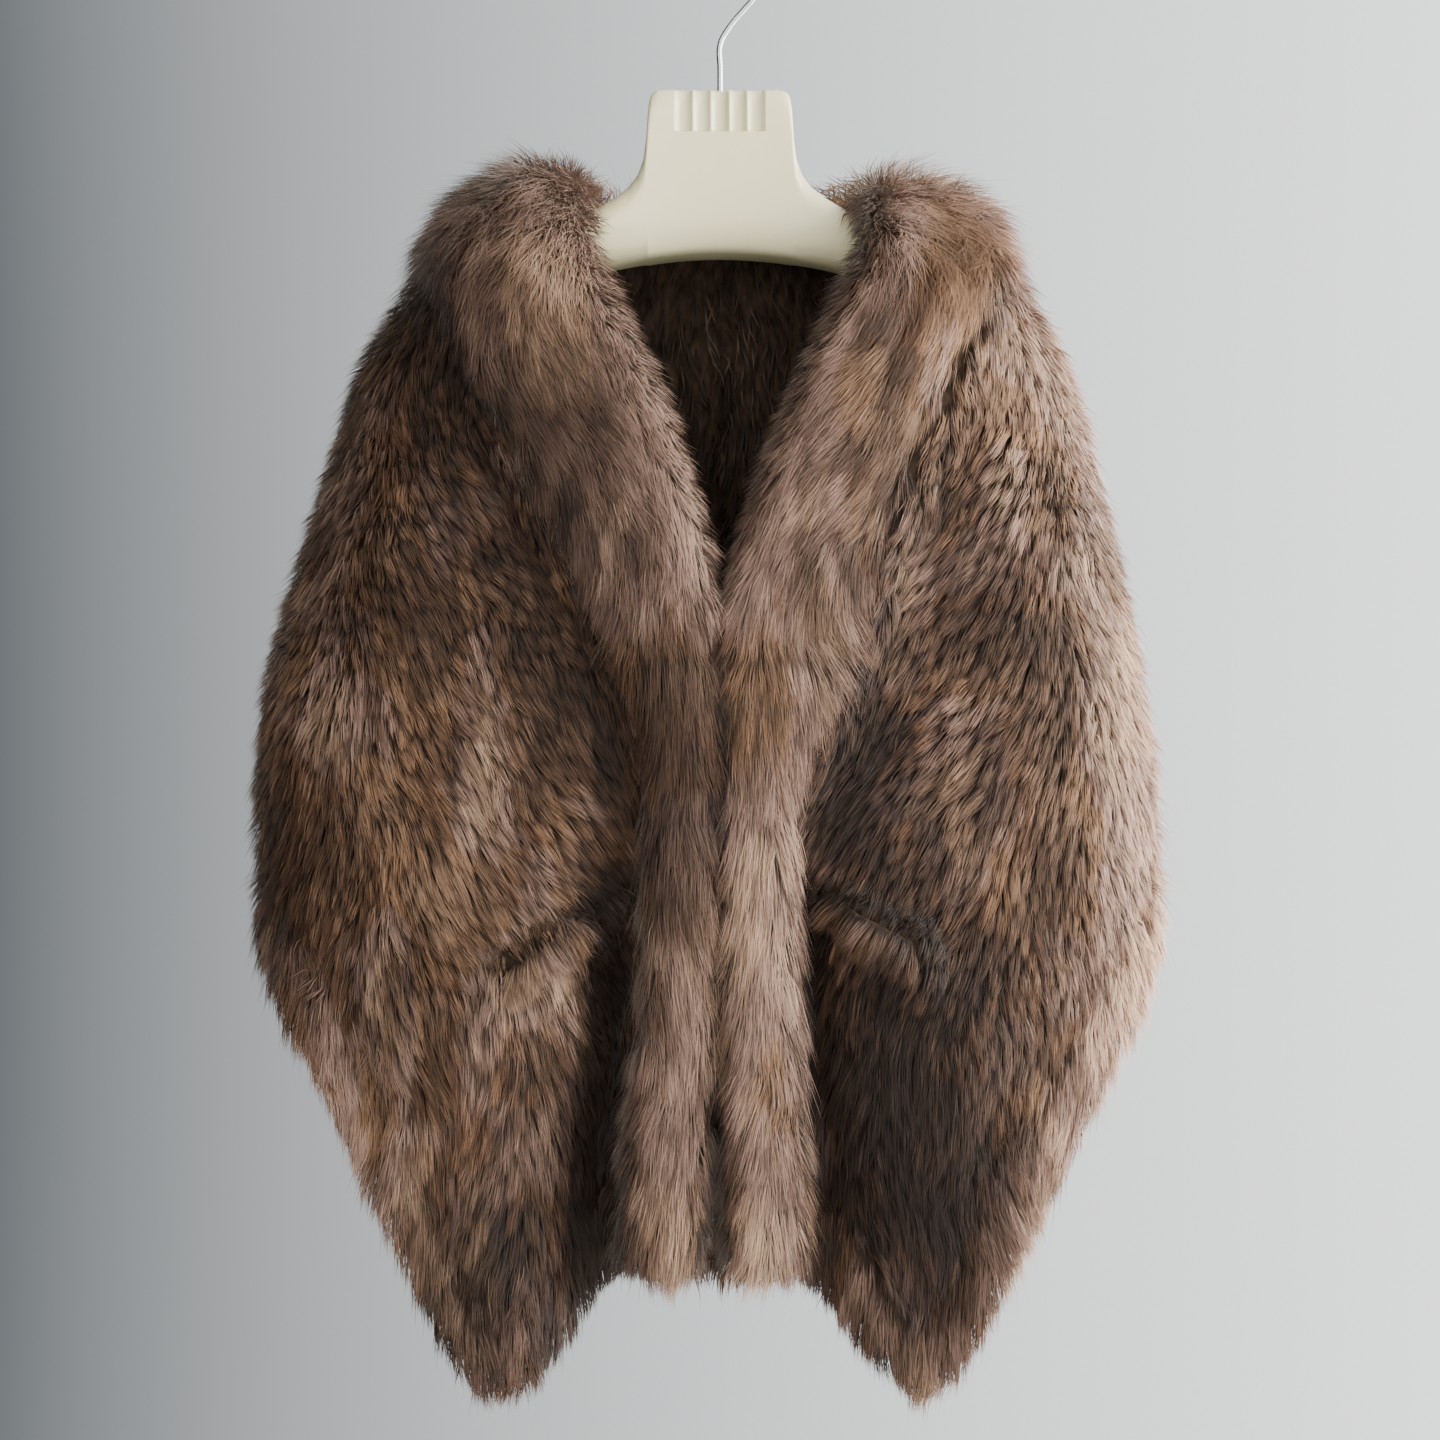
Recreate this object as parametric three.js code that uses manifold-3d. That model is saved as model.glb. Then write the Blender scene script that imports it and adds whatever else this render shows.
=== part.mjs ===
// A fur collar wrap on a moulded hanger with a wire hook.
// Millimetres, +Z up, the front faces -Y. Right and left are the wearer's: right is -X.
// The origin is the inner top of the hook, where it bears on what it hangs from.
import * as THREE from "three";
import Module from "manifold-3d";

const wasm = await Module();
wasm.setup();

// Driving sizes of the wrap
const NECK_Z = -165; // neck edge of the panels
const COLLAR_SHOULDER_Z = -222; // collar's outer edge where it crosses the shoulder
const COLLAR_NAPE_Z = -286; // collar's outer edge at the centre of the back
const ARM_Z = -215; // where the neck edge starts to narrow to a V
const MEET_Z = -453; // where the two collars meet
const SWING_Z = -640; // where the bands start to swing apart
const BAND_END_Z = -846; // free end of the front bands
const SIDE_HEM_Z = -646; // hem at the side
const BACK_HEM_Z = -880; // hem at the centre of the back
const BORDER_WIDTH = 45; // whole-fur strip along the hem
const BACK_HEM_ROUND = 1.3; // over 1, the back hem stays high for longer near the sides
const SEAM = 0.3; // gap between two sewn pieces
const BULGE = { out: 9, full: -300 }; // the middle rounds out, fully so from this height down

// How far the outer tips of the fur reach at each height: half widths to the right and left,
// depths to the front and back, and the thickness of the fur wall with its pile on both faces
const BODY_RINGS = [
  { z: -165, right: 84, left: 80, front: 42, back: 48, wall: 13 },
  { z: -180, right: 122, left: 120, front: 46, back: 53, wall: 14 },
  { z: -200, right: 160, left: 156, front: 52, back: 58, wall: 16 },
  { z: -222, right: 192, left: 188, front: 58, back: 63, wall: 18 },
  { z: -245, right: 216, left: 212, front: 64, back: 68, wall: 21 },
  { z: -275, right: 236, left: 227, front: 70, back: 73, wall: 24 },
  { z: -310, right: 246, left: 238, front: 76, back: 78, wall: 26 },
  { z: -370, right: 264, left: 252, front: 83, back: 84, wall: 26 },
  { z: -430, right: 282, left: 266, front: 89, back: 88, wall: 26 },
  { z: -490, right: 297, left: 276, front: 93, back: 91, wall: 26 },
  { z: -545, right: 301, left: 284, front: 95, back: 93, wall: 26 },
  { z: -650, right: 300, left: 286, front: 96, back: 93, wall: 26 },
  { z: -930, right: 298, left: 284, front: 92, back: 88, wall: 24 },
];

// Hem height of each front, by the distance along the cloth from the centre front
const FRONT_HEM = [
  { along: 0, right: -838, left: -838 },
  { along: 50, right: -850, left: -850 },
  { along: 90, right: -893, left: -892 },
  { along: 132, right: -922, left: -922 },
  { along: 168, right: -898, left: -893 },
  { along: 188, right: -862, left: -850 },
  { along: 214, right: -806, left: -810 },
  { along: 260, right: -733, left: -735 },
  { along: 305, right: -679, left: -680 },
  { along: 353, right: SIDE_HEM_Z, left: SIDE_HEM_Z },
];

// Outer edge of the collar and then of the front band, by its distance from the centre
const STRIP_EDGE = [
  { z: COLLAR_SHOULDER_Z, right: 192, left: 188 },
  { z: -240, right: 181, left: 172 },
  { z: -300, right: 153, left: 145 },
  { z: -355, right: 126, left: 122 },
  { z: -410, right: 96, left: 104 },
  { z: -460, right: 70, left: 88 },
  { z: -515, right: 51, left: 67 },
  { z: -565, right: 50, left: 48 },
  { z: -650, right: 50, left: 49 },
  { z: -760, right: 60, left: 53 },
  { z: BAND_END_Z, right: 67, left: 55 },
];

// Inner edge of the neck: its half width at the top, how fast it narrows to the V, and how far
// the bands swing apart below the swing height
const NECK_EDGE = {
  right: { top: 78, curve: 1.85, apart: 0.4, swing: 9 },
  left: { top: 86, curve: 1.5, apart: 0.4, swing: 1.5 },
};

// Large soft folds: a trough is positive, a ridge negative
const FOLDS = [
  { face: "front", x: -188, width: 30, depth: 7, top: -215, bottom: -330 },
  { face: "front", x: 184, width: 30, depth: 7, top: -215, bottom: -330 },
  { face: "front", x: -165, width: 46, depth: -7, top: -560, bottom: -930 },
  { face: "front", x: 150, width: 46, depth: -6, top: -560, bottom: -930 },
  { face: "front", x: -228, width: 34, depth: 9, top: -420, bottom: -860 },
  { face: "front", x: 216, width: 34, depth: 7, top: -450, bottom: -860 },
  { face: "back", x: -118, width: 52, depth: 10, top: -330, bottom: -930 },
  { face: "back", x: 104, width: 52, depth: 9, top: -360, bottom: -930 },
  { face: "back", x: -8, width: 60, depth: -8, top: -300, bottom: -930 },
];

// The front panel sinks under its band and into the deep fold beside it
const SINK = {
  right: { depth: 38, past: 12, rise: 44, top: -500, full: -650 },
  left: { depth: 27, past: 4, rise: 34, top: -500, full: -650 },
};

const COLLAR_THICK = { nape: 24, shoulder: 37, chest: 28, meet: 23 };
const BAND_PROUD = 16; // how far a band stands out of the front

// Pocket mouths: the raised fur lip under each slanting slit
const POCKET_LIP = {
  right: { inner: { x: 60, z: -604 }, outer: { x: 138, z: -657 }, width: 24, thick: 11 },
  left: { inner: { x: 58, z: -603 }, outer: { x: 127, z: -640 }, width: 24, thick: 11 },
};

// Driving sizes of the hanger and its hook
const WIRE_RADIUS = 1.8;
const HOOK_RADIUS = 25; // to the middle of the wire
const HOOK_CENTRE_Z = WIRE_RADIUS - HOOK_RADIUS;
const HOOK_TURN = { start: -48, end: 205, step: 23 }; // degrees round from +X
const HOOK_BEND = { x: 5, rise: 10 }; // where the wire leaves the shank
const SHANK_TOP_Z = -66;
const HANGER_TOP_Z = -97;
const SOCKET_DEPTH = 26;
const ARCH_TOP_Z = -204; // underside of the hanger in the middle
const ARCH_RADIUS = 297;
const ARCH_WIDTH = 120; // longer than the hanger is deep
const HANGER_SECTIONS = [
  { z: -97, half: 38, deep: 15, corner: 8 },
  { z: -98.2, half: 42, deep: 18.5, corner: 10 },
  { z: -101, half: 44.8, deep: 20.6, corner: 12 },
  { z: -106, half: 46.2, deep: 21.6, corner: 13 },
  { z: -128, half: 47.4, deep: 22.4, corner: 14 },
  { z: -142, half: 49.4, deep: 23.2, corner: 16 },
  { z: -152, half: 53, deep: 24, corner: 19 },
  { z: -160, half: 59, deep: 25, corner: 22 },
  { z: -167, half: 68, deep: 26, corner: 25 },
  { z: -175, half: 82, deep: 27, corner: 27 },
  { z: -187, half: 104, deep: 28, corner: 28 },
  { z: -200, half: 130, deep: 28, corner: 28 },
  { z: -214, half: 157, deep: 27, corner: 27 },
  { z: -227, half: 178, deep: 25, corner: 25 },
  { z: -238, half: 187, deep: 23, corner: 23 },
  { z: -250, half: 184, deep: 20, corner: 20 },
  { z: -258, half: 172, deep: 16, corner: 16 },
];
const FLUTE = { count: 5, pitch: 11.4, radius: 5.6, sink: 1.6, top: -100, bottom: -126 };

// Interpolates a table at one value of its key column, smoothly and with no overshoot
function readTable(table, key, value, column) {
  const rising = table[table.length - 1][key] > table[0][key];
  const rows = rising ? table : [...table].reverse();
  const last = rows.length - 1;
  if (value <= rows[0][key]) return rows[0][column];
  if (value >= rows[last][key]) return rows[last][column];
  let i = 0;
  while (rows[i + 1][key] < value) i += 1;
  const slope = (k) => (rows[k + 1][column] - rows[k][column]) / (rows[k + 1][key] - rows[k][key]);
  const tangent = (k) => {
    if (k === 0) return slope(0);
    if (k === last) return slope(last - 1);
    const before = slope(k - 1);
    const after = slope(k);
    return before * after <= 0 ? 0 : (2 * before * after) / (before + after);
  };
  const span = rows[i + 1][key] - rows[i][key];
  const t = (value - rows[i][key]) / span;
  const t2 = t * t;
  const t3 = t2 * t;
  return (
    (2 * t3 - 3 * t2 + 1) * rows[i][column] +
    (t3 - 2 * t2 + t) * span * tangent(i) +
    (3 * t2 - 2 * t3) * rows[i + 1][column] +
    (t3 - t2) * span * tangent(i + 1)
  );
}

const lerp = THREE.MathUtils.lerp;
const clamp = THREE.MathUtils.clamp;
const sideName = (side) => (side < 0 ? "right" : "left");

// 0 outside the range, 1 at its far end, soft at both ends
function ease(value, from, to) {
  const t = clamp((value - from) / (to - from), 0, 1);
  return t * t * (3 - 2 * t);
}

// The round outline of the wrap at one height: a flat front and a round side
function ringAt(z, side, back) {
  const width = readTable(BODY_RINGS, "z", z, sideName(side));
  const depth = readTable(BODY_RINGS, "z", z, back ? "back" : "front");
  const flat = width - depth;
  return { width, depth, flat, length: flat + (depth * Math.PI) / 2 };
}

// A turn runs from 0 at the centre front to 1 at the side and 2 at the centre back,
// negative to the wearer's right
function turnAt(x, z, side) {
  const ring = ringAt(z, side, false);
  const across = Math.min(Math.abs(x), ring.width);
  if (across <= ring.flat) return across / ring.length;
  const angle = Math.asin(clamp((across - ring.flat) / ring.depth, 0, 1));
  return (ring.flat + ring.depth * angle) / ring.length;
}

function foldAt(face, x, z) {
  let depth = 0;
  for (const fold of FOLDS) {
    if (fold.face !== face) continue;
    const across = Math.exp(-(((x - fold.x) / fold.width) ** 2));
    const fade = 0.25 * (fold.top - fold.bottom);
    const low = fold.bottom <= -900 ? 1 : 1 - ease(z, fold.bottom + fade, fold.bottom);
    depth += fold.depth * across * ease(z, fold.top, fold.top - 2 * fade) * low;
  }
  return depth;
}

// A point of the outer fur surface
function skinPoint(turn, z) {
  let side = turn < 0 ? -1 : 1;
  let around = Math.abs(turn);
  if (around > 2) {
    around = 4 - around;
    side = -side;
  }
  const back = around > 1;
  const ring = ringAt(z, side, back);
  const along = (back ? 2 - around : around) * ring.length;
  const angle = Math.max(0, (along - ring.flat) / ring.depth);
  const x = side * (Math.min(along, ring.flat) + ring.depth * Math.sin(angle));
  let depth = ring.depth * Math.cos(angle);
  const toMiddle = Math.cos((Math.PI / 2) * Math.min(1, Math.abs(x) / ring.width));
  const roundness = ease(z, NECK_Z, BULGE.full) * toMiddle * toMiddle;
  const sideFade = ease(angle, Math.PI / 2, Math.PI / 5);
  depth += BULGE.out * roundness - foldAt(back ? "back" : "front", x, z) * sideFade;
  return new THREE.Vector3(x, back ? depth : -depth, z);
}

function skinNormal(turn, z) {
  const step = 0.004;
  const around = skinPoint(turn + step, z).sub(skinPoint(turn - step, z));
  const down = skinPoint(turn, z - 1).sub(skinPoint(turn, z + 1));
  return down.cross(around).normalize();
}

// How far a front panel lies behind the outer surface
function sinkAt(turn, z) {
  if (Math.abs(turn) >= 1) return 0;
  const side = turn < 0 ? -1 : 1;
  const sink = SINK[sideName(side)];
  const x = Math.abs(skinPoint(turn, z).x);
  const edge = readTable(STRIP_EDGE, "z", z, sideName(side)) + sink.past;
  return sink.depth * ease(z, sink.top, sink.full) * ease(x, edge + sink.rise, edge);
}

// A point moved out of the panel's outer face, or of the skin where it bridges the deep fold
function offsetPoint(turn, z, out, fromSkin) {
  const base = fromSkin ? 0 : -sinkAt(turn, z);
  const seam = Math.abs(turn) > 1 ? SEAM / 2 : -SEAM / 2;
  const point = skinPoint(turn, z).addScaledVector(skinNormal(turn, z), base + out);
  point.y += seam;
  return point;
}

function neckEdge(z, side) {
  const edge = NECK_EDGE[sideName(side)];
  const down = clamp((ARM_Z - z) / (ARM_Z - MEET_Z), 0, 1);
  const swing = edge.swing * ease(z, SWING_Z, BAND_END_Z);
  return edge.apart + (edge.top - edge.apart) * (1 - down) ** edge.curve + swing;
}

const neckTurn = (z, side) => turnAt(neckEdge(z, side), z, side);

const FRONT_LENGTH = FRONT_HEM[FRONT_HEM.length - 1].along;

// Hem height, and how far above it the border is sewn on, by turn
function hemAt(turn) {
  const around = Math.abs(turn) > 2 ? 4 - Math.abs(turn) : Math.abs(turn);
  if (around <= 1) return readTable(FRONT_HEM, "along", around * FRONT_LENGTH, sideName(turn));
  return lerp(SIDE_HEM_Z, BACK_HEM_Z, Math.sin((Math.PI / 2) * (around - 1)) ** BACK_HEM_ROUND);
}

function borderTop(turn, gap) {
  const step = 0.01;
  const slope = (hemAt(turn + step) - hemAt(turn - step)) / (2 * step * FRONT_LENGTH);
  return hemAt(turn) + (BORDER_WIDTH + gap) * Math.sqrt(1 + slope * slope);
}

// A mesh as a solid and back
function toSolid(geometry) {
  const mesh = new wasm.Mesh({
    numProp: 3,
    vertProperties: new Float32Array(geometry.getAttribute("position").array),
    triVerts: new Uint32Array(geometry.getIndex().array),
  });
  return new wasm.Manifold(mesh);
}

function toGeometry(solid) {
  const mesh = solid.getMesh();
  const geometry = new THREE.BufferGeometry();
  geometry.setAttribute("position", new THREE.BufferAttribute(new Float32Array(mesh.vertProperties), 3));
  geometry.setIndex(new THREE.BufferAttribute(new Uint32Array(mesh.triVerts), 1));
  geometry.computeVertexNormals();
  return geometry;
}

// A closed wall between two faces that share one grid of columns and rows
function wallGeometry(columns, rows, outer, inner) {
  const positions = [];
  for (const face of [outer, inner]) {
    for (let j = 0; j <= rows; j += 1) {
      for (let i = 0; i <= columns; i += 1) positions.push(...face(i / columns, j / rows).toArray());
    }
  }
  const index = [];
  const layer = (columns + 1) * (rows + 1);
  const at = (i, j, k) => k * layer + j * (columns + 1) + i;
  const quad = (a, b, c, d) => index.push(a, b, c, a, c, d);
  for (let j = 0; j < rows; j += 1) {
    for (let i = 0; i < columns; i += 1) {
      quad(at(i, j, 0), at(i, j + 1, 0), at(i + 1, j + 1, 0), at(i + 1, j, 0));
      quad(at(i, j, 1), at(i + 1, j, 1), at(i + 1, j + 1, 1), at(i, j + 1, 1));
    }
    quad(at(0, j, 1), at(0, j + 1, 1), at(0, j + 1, 0), at(0, j, 0));
    quad(at(columns, j, 0), at(columns, j + 1, 0), at(columns, j + 1, 1), at(columns, j, 1));
  }
  for (let i = 0; i < columns; i += 1) {
    quad(at(i, 0, 0), at(i + 1, 0, 0), at(i + 1, 0, 1), at(i, 0, 1));
    quad(at(i, rows, 0), at(i, rows, 1), at(i + 1, rows, 1), at(i + 1, rows, 0));
  }
  return facingOut(positions, index);
}

// Turns the faces round where the volume comes out negative
function facingOut(positions, index) {
  const corner = (k) => new THREE.Vector3().fromArray(positions, 3 * k);
  let volume = 0;
  for (let k = 0; k < index.length; k += 3) {
    volume += corner(index[k]).dot(corner(index[k + 1]).cross(corner(index[k + 2])));
  }
  const facing = volume > 0 ? index : index.toReversed();
  const geometry = new THREE.BufferGeometry();
  geometry.setAttribute("position", new THREE.Float32BufferAttribute(positions, 3));
  geometry.setIndex(facing);
  return geometry;
}

// The largest body of a wall after what it lies on has pressed its own shape into it
function pressedBy(geometry, ...supports) {
  let pressed = toSolid(geometry);
  for (const support of supports) pressed = pressed.subtract(support);
  const bodies = pressed.decompose();
  bodies.sort((a, b) => b.volume() - a.volume());
  return toGeometry(bodies[0]);
}

// A panel's wall. With a clearance it is what presses a strip that lies on the panel: its outer
// face is moved out by that much, and it runs on one column and one row past the panel's edges
function panelGeometry(columns, rows, place, clearance) {
  const more = clearance > 0 ? 1 : 0;
  const share = (value, count) => (value * (count + more) - more) / count;
  const face = (offset) => (a, b) => {
    const { turn, z } = place(share(a, columns), share(b, rows));
    return offsetPoint(turn, z, offset(z), false);
  };
  const inside = (z) => -readTable(BODY_RINGS, "z", z, "wall");
  return wallGeometry(columns + more, rows + more, face(() => clearance), face(inside));
}

// Rows lie closer together near the neck
const rowShare = (b) => (b < 0 ? 0.1 * b : b ** 1.35);

// A panel and its border share their columns, so that they meet along the seam
const FRONT_COLUMNS = 18;
const BACK_COLUMNS = 12;

// Where a column of a front panel is at one height
const frontTurn = (side, a, z) => side * lerp(neckTurn(z, side), 1, a);

function frontPanel(side, clearance) {
  const place = (a, b) => {
    const z = lerp(NECK_Z, borderTop(side * a, 2 * SEAM), rowShare(b));
    return { turn: frontTurn(side, a, z), z };
  };
  return panelGeometry(FRONT_COLUMNS, 18, place, clearance);
}

function frontBorder(side, clearance) {
  const place = (a, b) => {
    const z = lerp(borderTop(side * a, 0), hemAt(side * a), b);
    return { turn: frontTurn(side, a, z), z };
  };
  return panelGeometry(FRONT_COLUMNS, 3, place, clearance);
}

// The back is two halves that are sewn together down its centre. A turn past 2 is on the right
const SIDE_GAP = 0.00001; // keeps a turn of the back on the back's side of the side seam
const CENTRE_GAP = 0.0005; // half of the gap at the centre seam, as a turn

function backTurn(side, a) {
  if (side > 0) return lerp(1 + SIDE_GAP, 2 - CENTRE_GAP, a);
  return lerp(2 + CENTRE_GAP, 3 - SIDE_GAP, a);
}

function backPanel(side, clearance) {
  const place = (a, b) => {
    const turn = backTurn(side, a);
    return { turn, z: lerp(NECK_Z, borderTop(turn, 2 * SEAM), rowShare(b)) };
  };
  return panelGeometry(BACK_COLUMNS, 14, place, clearance);
}

// Where a column of a strip that goes all round the back is
const wholeBackTurn = (a) => lerp(1 + SIDE_GAP, 3 - SIDE_GAP, a);

function backBorder() {
  const place = (a, b) => {
    const turn = wholeBackTurn(a);
    return { turn, z: lerp(borderTop(turn, 0), hemAt(turn), b) };
  };
  return panelGeometry(2 * BACK_COLUMNS, 3, place, 0);
}

// The rounded height of a strip across its width, from its roll edge at 0 to its outer edge at 1
const CROWN_AT = 0.4;
const ROLL_EDGE = 0.62;

function rollSide(b) {
  return ROLL_EDGE + (1 - ROLL_EDGE) * Math.sqrt(1 - ((CROWN_AT - b) / CROWN_AT) ** 3);
}

// A band stands out of the front, and a collar slopes down until it runs into the panel
const STRIP_EDGES = {
  band: { height: 0.36, power: 3, root: 0.5 },
  collar: { height: 0.16, power: 2, root: 1 },
};

function crown(b, kind) {
  if (b < CROWN_AT) return rollSide(b);
  const { height, power, root } = STRIP_EDGES[kind];
  return height + (1 - height) * (1 - ((b - CROWN_AT) / (1 - CROWN_AT)) ** power) ** root;
}

// A strip that lies on the panels. Its lower face dips into them, and they are cut out of it
const STRIP_DIP = 1.2;

function stripGeometry(columns, rows, place, thickness, fromSkin) {
  const upper = (a, b) => {
    const { turn, z } = place(a, b);
    return offsetPoint(turn, z, thickness(a, b), fromSkin);
  };
  const lower = (a, b) => {
    const { turn, z } = place(a, b);
    const inside = Math.min(ease(a, 0, 0.1), ease(a, 1, 0.9), ease(b, 0, 0.2), ease(b, 1, 0.8));
    return offsetPoint(turn, z, lerp(SEAM, -STRIP_DIP, inside), false);
  };
  return wallGeometry(columns, rows, upper, lower);
}

function frontCollar(side) {
  const shoulderShare = 0.12;
  const place = (a, b) => {
    const down = clamp((a - shoulderShare) / (1 - shoulderShare), 0, 1);
    const innerZ = lerp(NECK_Z, MEET_Z + SEAM, down);
    const overShoulder = ease(a, 0, shoulderShare);
    const innerTurn = lerp(1, neckTurn(innerZ, side), overShoulder);
    const outerZ = lerp(COLLAR_SHOULDER_Z, MEET_Z + SEAM, a);
    const outerTurn = turnAt(readTable(STRIP_EDGE, "z", outerZ, sideName(side)), outerZ, side);
    const z = lerp(innerZ, outerZ, b);
    return { turn: side * lerp(innerTurn, outerTurn, b), z };
  };
  const thickness = (a, b) => {
    const chest = lerp(COLLAR_THICK.shoulder, COLLAR_THICK.chest, ease(a, 0, 0.45));
    const rounded = lerp(crown(b, "collar"), crown(b, "band"), ease(a, 0.6, 1));
    return lerp(chest, COLLAR_THICK.meet, ease(a, 0.45, 1)) * rounded;
  };
  return stripGeometry(16, 6, place, thickness, false);
}

function backCollar() {
  const place = (a, b) => {
    const turn = wholeBackTurn(a);
    const toNape = Math.sin((Math.PI / 2) * (1 - Math.abs(turn - 2)));
    const outerZ = lerp(COLLAR_SHOULDER_Z, COLLAR_NAPE_Z, toNape);
    return { turn, z: lerp(NECK_Z, outerZ, b) };
  };
  const thickness = (a, b) => {
    const toNape = ease(Math.abs(2 * a - 1), 1, 0);
    return lerp(COLLAR_THICK.shoulder, COLLAR_THICK.nape, toNape) * crown(b, "collar");
  };
  return stripGeometry(20, 6, place, thickness, false);
}

function frontBand(side) {
  const place = (a, b) => {
    const endRound = 13 * (2 * b - 1) ** 2;
    const z = lerp(MEET_Z, BAND_END_Z + endRound, a);
    const outer = readTable(STRIP_EDGE, "z", z, sideName(side));
    return { turn: side * turnAt(lerp(neckEdge(z, side), outer, b), z, side), z };
  };
  const thickness = (a, b) => {
    const tip = 1 - 0.35 * ease(a, 0.93, 1);
    const rise = lerp(COLLAR_THICK.meet, BAND_PROUD, ease(a, 0, 0.25));
    return rise * crown(b, "band") * tip;
  };
  return stripGeometry(16, 6, place, thickness, true);
}

function pocketLip(side) {
  const lip = POCKET_LIP[sideName(side)];
  const place = (a, b) => {
    const x = lerp(lip.inner.x, lip.outer.x, a);
    const z = lerp(lip.inner.z, lip.outer.z, a) - b * lip.width;
    return { turn: side * turnAt(x, z, side), z };
  };
  const thickness = (a, b) => SEAM + lip.thick * crown(b, "band") * (1 - 0.5 * (2 * a - 1) ** 4);
  return stripGeometry(6, 4, place, thickness, false);
}

// The hanger's section at one height: a rectangle with round corners
function roundedSection(section, grow, z) {
  const corner = section.corner + grow;
  const half = section.half + 2 * grow;
  const deep = section.deep + grow;
  const points = [];
  const arcSteps = 4;
  const centres = [
    [half - corner, deep - corner, 0],
    [corner - half, deep - corner, 1],
    [corner - half, corner - deep, 2],
    [half - corner, corner - deep, 3],
  ];
  for (const [x, y, quarter] of centres) {
    for (let k = 0; k <= arcSteps; k += 1) {
      const angle = (Math.PI / 2) * (quarter + k / arcSteps);
      points.push([x + corner * Math.cos(angle), y + corner * Math.sin(angle), z]);
    }
  }
  return points;
}

function loft(sections) {
  const positions = sections.flat(2);
  const count = sections[0].length;
  const index = [];
  for (let j = 0; j < sections.length - 1; j += 1) {
    for (let i = 0; i < count; i += 1) {
      const next = (i + 1) % count;
      const low = j * count;
      const high = low + count;
      index.push(low + i, high + i, high + next, low + i, high + next, low + next);
    }
  }
  for (let i = 1; i < count - 1; i += 1) {
    const end = (sections.length - 1) * count;
    index.push(0, i, i + 1);
    index.push(end, end + i + 1, end + i);
  }
  return facingOut(positions, index);
}

// An upright or level round bar, closed at both ends
function bar(radius, length, sides) {
  const half = length / 2;
  const ring = (z) => {
    const points = [];
    for (let i = 0; i < sides; i += 1) {
      const angle = (2 * Math.PI * i) / sides;
      points.push([radius * Math.cos(angle), radius * Math.sin(angle), z]);
    }
    return points;
  };
  return loft([ring(half), ring(-half)]);
}

function hangerBody(grow) {
  const last = HANGER_SECTIONS.length - 1;
  const sections = HANGER_SECTIONS.map((section, k) => {
    const end = k === 0 ? grow : k === last ? -grow : 0;
    return roundedSection(section, grow, section.z + end);
  });
  const arch = bar(ARCH_RADIUS - grow, ARCH_WIDTH, 96);
  arch.rotateX(Math.PI / 2);
  arch.translate(0, 0, ARCH_TOP_Z - ARCH_RADIUS);
  return toSolid(loft(sections)).subtract(toSolid(arch));
}

// The hanger with its fluted neck and the socket of its hook
function hangerGeometry() {
  let solid = hangerBody(0);
  for (let k = 0; k < FLUTE.count; k += 1) {
    const length = FLUTE.top - FLUTE.bottom;
    const flute = bar(FLUTE.radius, length, 24);
    const x = (k - (FLUTE.count - 1) / 2) * FLUTE.pitch;
    const neck = readTable(HANGER_SECTIONS, "z", FLUTE.bottom, "deep");
    flute.translate(x, -(neck + FLUTE.radius - FLUTE.sink), FLUTE.bottom + length / 2);
    solid = solid.subtract(toSolid(flute));
  }
  const socket = bar(WIRE_RADIUS + SEAM, 2 * SOCKET_DEPTH, 16);
  socket.translate(0, 0, HANGER_TOP_Z);
  return toGeometry(solid.subtract(toSolid(socket)));
}

function hookGeometry() {
  const points = [
    new THREE.Vector3(0, 0, HANGER_TOP_Z - SOCKET_DEPTH + SEAM),
    new THREE.Vector3(0, 0, HANGER_TOP_Z),
    new THREE.Vector3(0, 0, (HANGER_TOP_Z + SHANK_TOP_Z) / 2),
    new THREE.Vector3(0, 0, SHANK_TOP_Z),
    new THREE.Vector3(HOOK_BEND.x, 0, SHANK_TOP_Z + HOOK_BEND.rise),
  ];
  for (let degrees = HOOK_TURN.start; degrees <= HOOK_TURN.end; degrees += HOOK_TURN.step) {
    const angle = THREE.MathUtils.degToRad(degrees);
    const x = HOOK_RADIUS * Math.cos(angle);
    points.push(new THREE.Vector3(x, 0, HOOK_CENTRE_Z + HOOK_RADIUS * Math.sin(angle)));
  }
  const circle = new THREE.Shape();
  circle.absarc(0, 0, WIRE_RADIUS, 0, 2 * Math.PI, false);
  return new THREE.ExtrudeGeometry(circle, {
    steps: 44,
    curveSegments: 4,
    bevelEnabled: false,
    extrudePath: new THREE.CatmullRomCurve3(points, false, "centripetal"),
  });
}

const COLOURS = {
  body: { color: 0x7d6552, roughness: 0.95, metalness: 0 },
  collar: { color: 0x8a7161, roughness: 0.95, metalness: 0 },
  border: { color: 0x8c6f57, roughness: 0.95, metalness: 0 },
  plastic: { color: 0xe6dfc6, roughness: 0.35, metalness: 0 },
  steel: { color: 0xb8b8ba, roughness: 0.3, metalness: 1 },
};

const wrap = new THREE.Group();

function addPiece(name, geometry, colour) {
  const mesh = new THREE.Mesh(geometry, new THREE.MeshStandardMaterial(COLOURS[colour]));
  mesh.name = name;
  wrap.add(mesh);
}

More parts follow.
